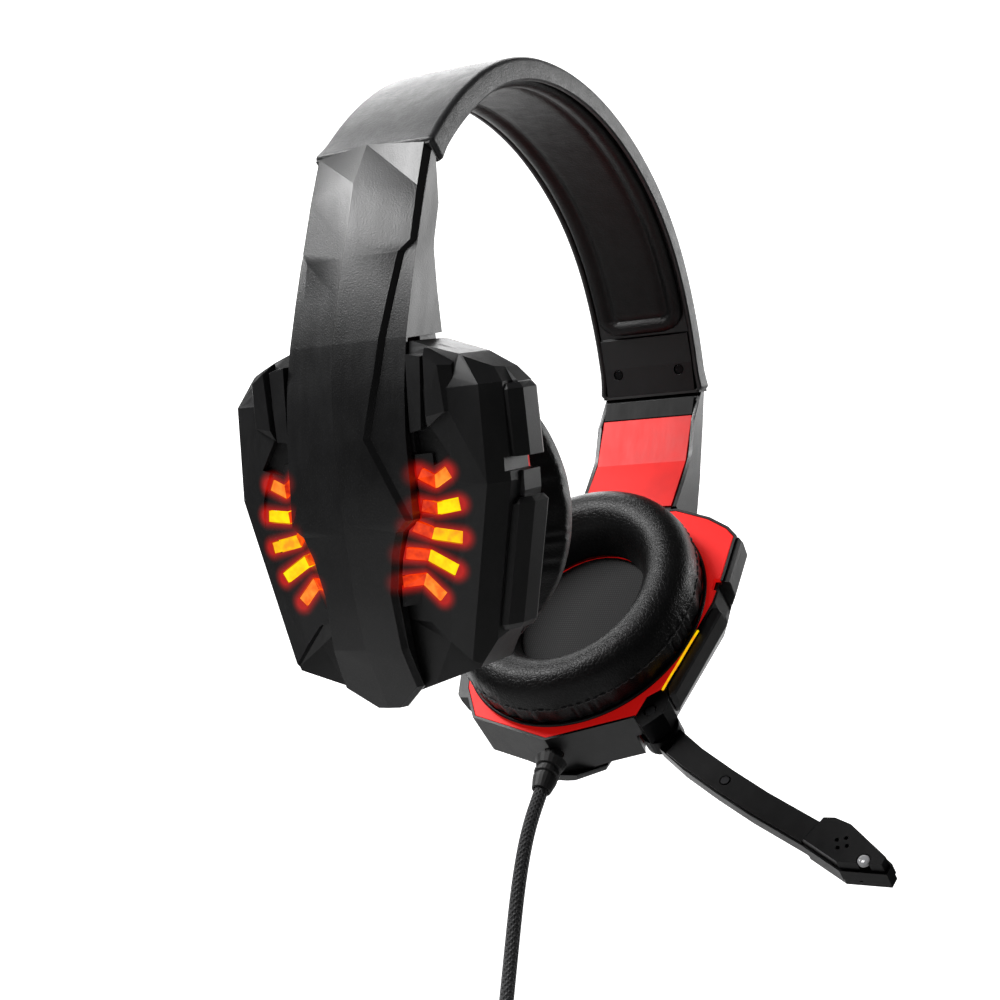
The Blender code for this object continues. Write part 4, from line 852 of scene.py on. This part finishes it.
def build_cord():
    start = lead_points()[0]
    first = (lead_points()[0] - lead_points()[1]).normalized()
    route = [start + first * 9.0, start + first * 4.0] + lead_points()[:-2] + hank_path()
    path = smooth_path(route, 2.6)
    radius = CORD_DIAMETER / 2.0 - 0.04
    sides = 12
    points, faces, along, around = [], [], [], []
    across = Vector((0.0, 1.0, 0.0))
    run = 0.0
    for i, point in enumerate(path):
        tangent = (path[min(i + 1, len(path) - 1)] - path[max(i - 1, 0)]).normalized()
        across = (across - tangent * across.dot(tangent)).normalized()
        other = tangent.cross(across)
        if i:
            run += (point - path[i - 1]).length
        for k in range(sides):
            angle = 2.0 * math.pi * k / sides
            points.append((point + (across * math.cos(angle) + other * math.sin(angle)) * radius) * MM)
            along.append(run)
            around.append(k / sides)
    for i in range(len(path) - 1):
        for k in range(sides):
            j = (k + 1) % sides
            faces.append((i * sides + k, i * sides + j, (i + 1) * sides + j, (i + 1) * sides + k))
    faces.append(tuple(range(sides)))
    faces.append(tuple(range(len(points) - sides, len(points))))
    cord = mesh_piece("braided_cord", points, faces, LOOKS["braid"], True, 60.0)
    mesh = cord.data
    for name, values in (("along", along), ("around", around)):
        layer = mesh.attributes.new(name, "FLOAT", "CORNER")
        for loop in mesh.loops:
            value = values[loop.vertex_index]
            layer.data[loop.index].value = value
        if name == "around":
            for face in mesh.polygons:
                wraps = [layer.data[k].value for k in face.loop_indices]
                if len(wraps) == 4 and max(wraps) - min(wraps) > 0.5:
                    for k in face.loop_indices:
                        if layer.data[k].value < 0.5:
                            layer.data[k].value += 1.0
    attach(cord, "arm_left")
    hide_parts("cord_lead", "cord_hank", "cord_tail")
    tie = refined("cord_tie", LOOKS["tie"], 0.4, 3)
    grip = refined("plug_grip", LOOKS["rubber"], 0.6, 3)
    shell = refined("plug_shell", LOOKS["shell_metal"], 0.15)
    sleeve = refined("strain_relief", LOOKS["rubber"], 0.15, 2, 20.0)
    return sleeve


# ------------------------------------------------------------------ studio
def area_light(name, place, size, power, colour=(1.0, 1.0, 1.0), aim=(0.0, 0.0, -0.1)):
    data = bpy.data.lights.new(name, "AREA")
    data.shape = "RECTANGLE"
    data.size, data.size_y = size
    data.energy = power
    data.color = colour
    light = bpy.data.objects.new(name, data)
    bpy.context.scene.collection.objects.link(light)
    light.location = place
    direction = Vector(aim) - Vector(place)
    light.rotation_euler = direction.to_track_quat("-Z", "Y").to_euler()


def build_studio():
    world = bpy.data.worlds.new("studio")
    bpy.context.scene.world = world
    world.use_nodes = True
    background = world.node_tree.nodes["Background"]
    background.inputs["Color"].default_value = (1.0, 1.0, 1.0, 1.0)
    background.inputs["Strength"].default_value = 0.07
    sky = world.node_tree
    seen = sky.nodes.new("ShaderNodeBackground")
    seen.inputs["Color"].default_value = (0.86, 0.86, 0.86, 1.0)
    path = sky.nodes.new("ShaderNodeLightPath")
    mix = sky.nodes.new("ShaderNodeMixShader")
    sky.links.new(path.outputs["Is Camera Ray"], mix.inputs["Fac"])
    sky.links.new(background.outputs[0], mix.inputs[1])
    sky.links.new(seen.outputs[0], mix.inputs[2])
    sky.links.new(mix.outputs[0], sky.nodes["World Output"].inputs["Surface"])

    paper = Look("studio_paper")
    tone = paper.noise(6.0, 2.0, 0.5)
    paper.use(Base_Color=paper.ramp(tone, (0.3, (0.44, 0.44, 0.44)), (0.7, (0.48, 0.48, 0.48))))
    paper.set(Roughness=0.9)
    size, low = 1.3, -0.95
    corners = [Vector((x * size, y * size, low)) for x, y in ((-1, -1), (1, -1), (1, 1), (-1, 1))]
    floor = mesh_piece("studio_floor", corners, [(0, 1, 2, 3)], paper, False)

    card = Look("white_card")
    card.shader.inputs["Emission Color"].default_value = (1.0, 1.0, 1.0, 1.0)
    card.set(Emission_Strength=1.0)
    card.use(Base_Color=card.ramp(card.noise(3.0), (0.0, (0.8, 0.8, 0.8)), (1.0, (0.85, 0.85, 0.85))))
    camera = bpy.context.scene.camera.matrix_world
    centre = Vector((0.0, 0.0, -0.12)) - camera.col[2].to_3d() * 1.35
    right, up = camera.col[0].to_3d(), camera.col[1].to_3d()
    corners = [centre + right * a * 1.3 + up * b * 1.0 for a, b in ((-1, -1), (1, -1), (1, 1), (-1, 1))]
    backdrop = mesh_piece("studio_card", corners, [(0, 1, 2, 3)], card, False)

    area_light("top_softbox", (0.50, 0.62, 0.90), (0.9, 0.7), 8.5)
    area_light("strip_softbox", (-1.03, 0.68, 0.76), (1.5, 0.42), 43.0, aim=(-0.09, 0.0, -0.05))
    area_light("right_softbox", (0.94, -0.60, 0.50), (0.6, 0.4), 4.2, aim=(-0.09, 0.0, -0.05))


make_camera()
build_cord()
build_headband()
for cup_side, cup_tag in ((1, "left"), (-1, "right")):
    build_cup(cup_side, cup_tag)
    build_arm_root(cup_side, cup_tag)
    build_band_lip(cup_side)
build_edge_glow()
build_microphone()
build_studio()
bpy.context.scene.view_settings.view_transform = "Standard"
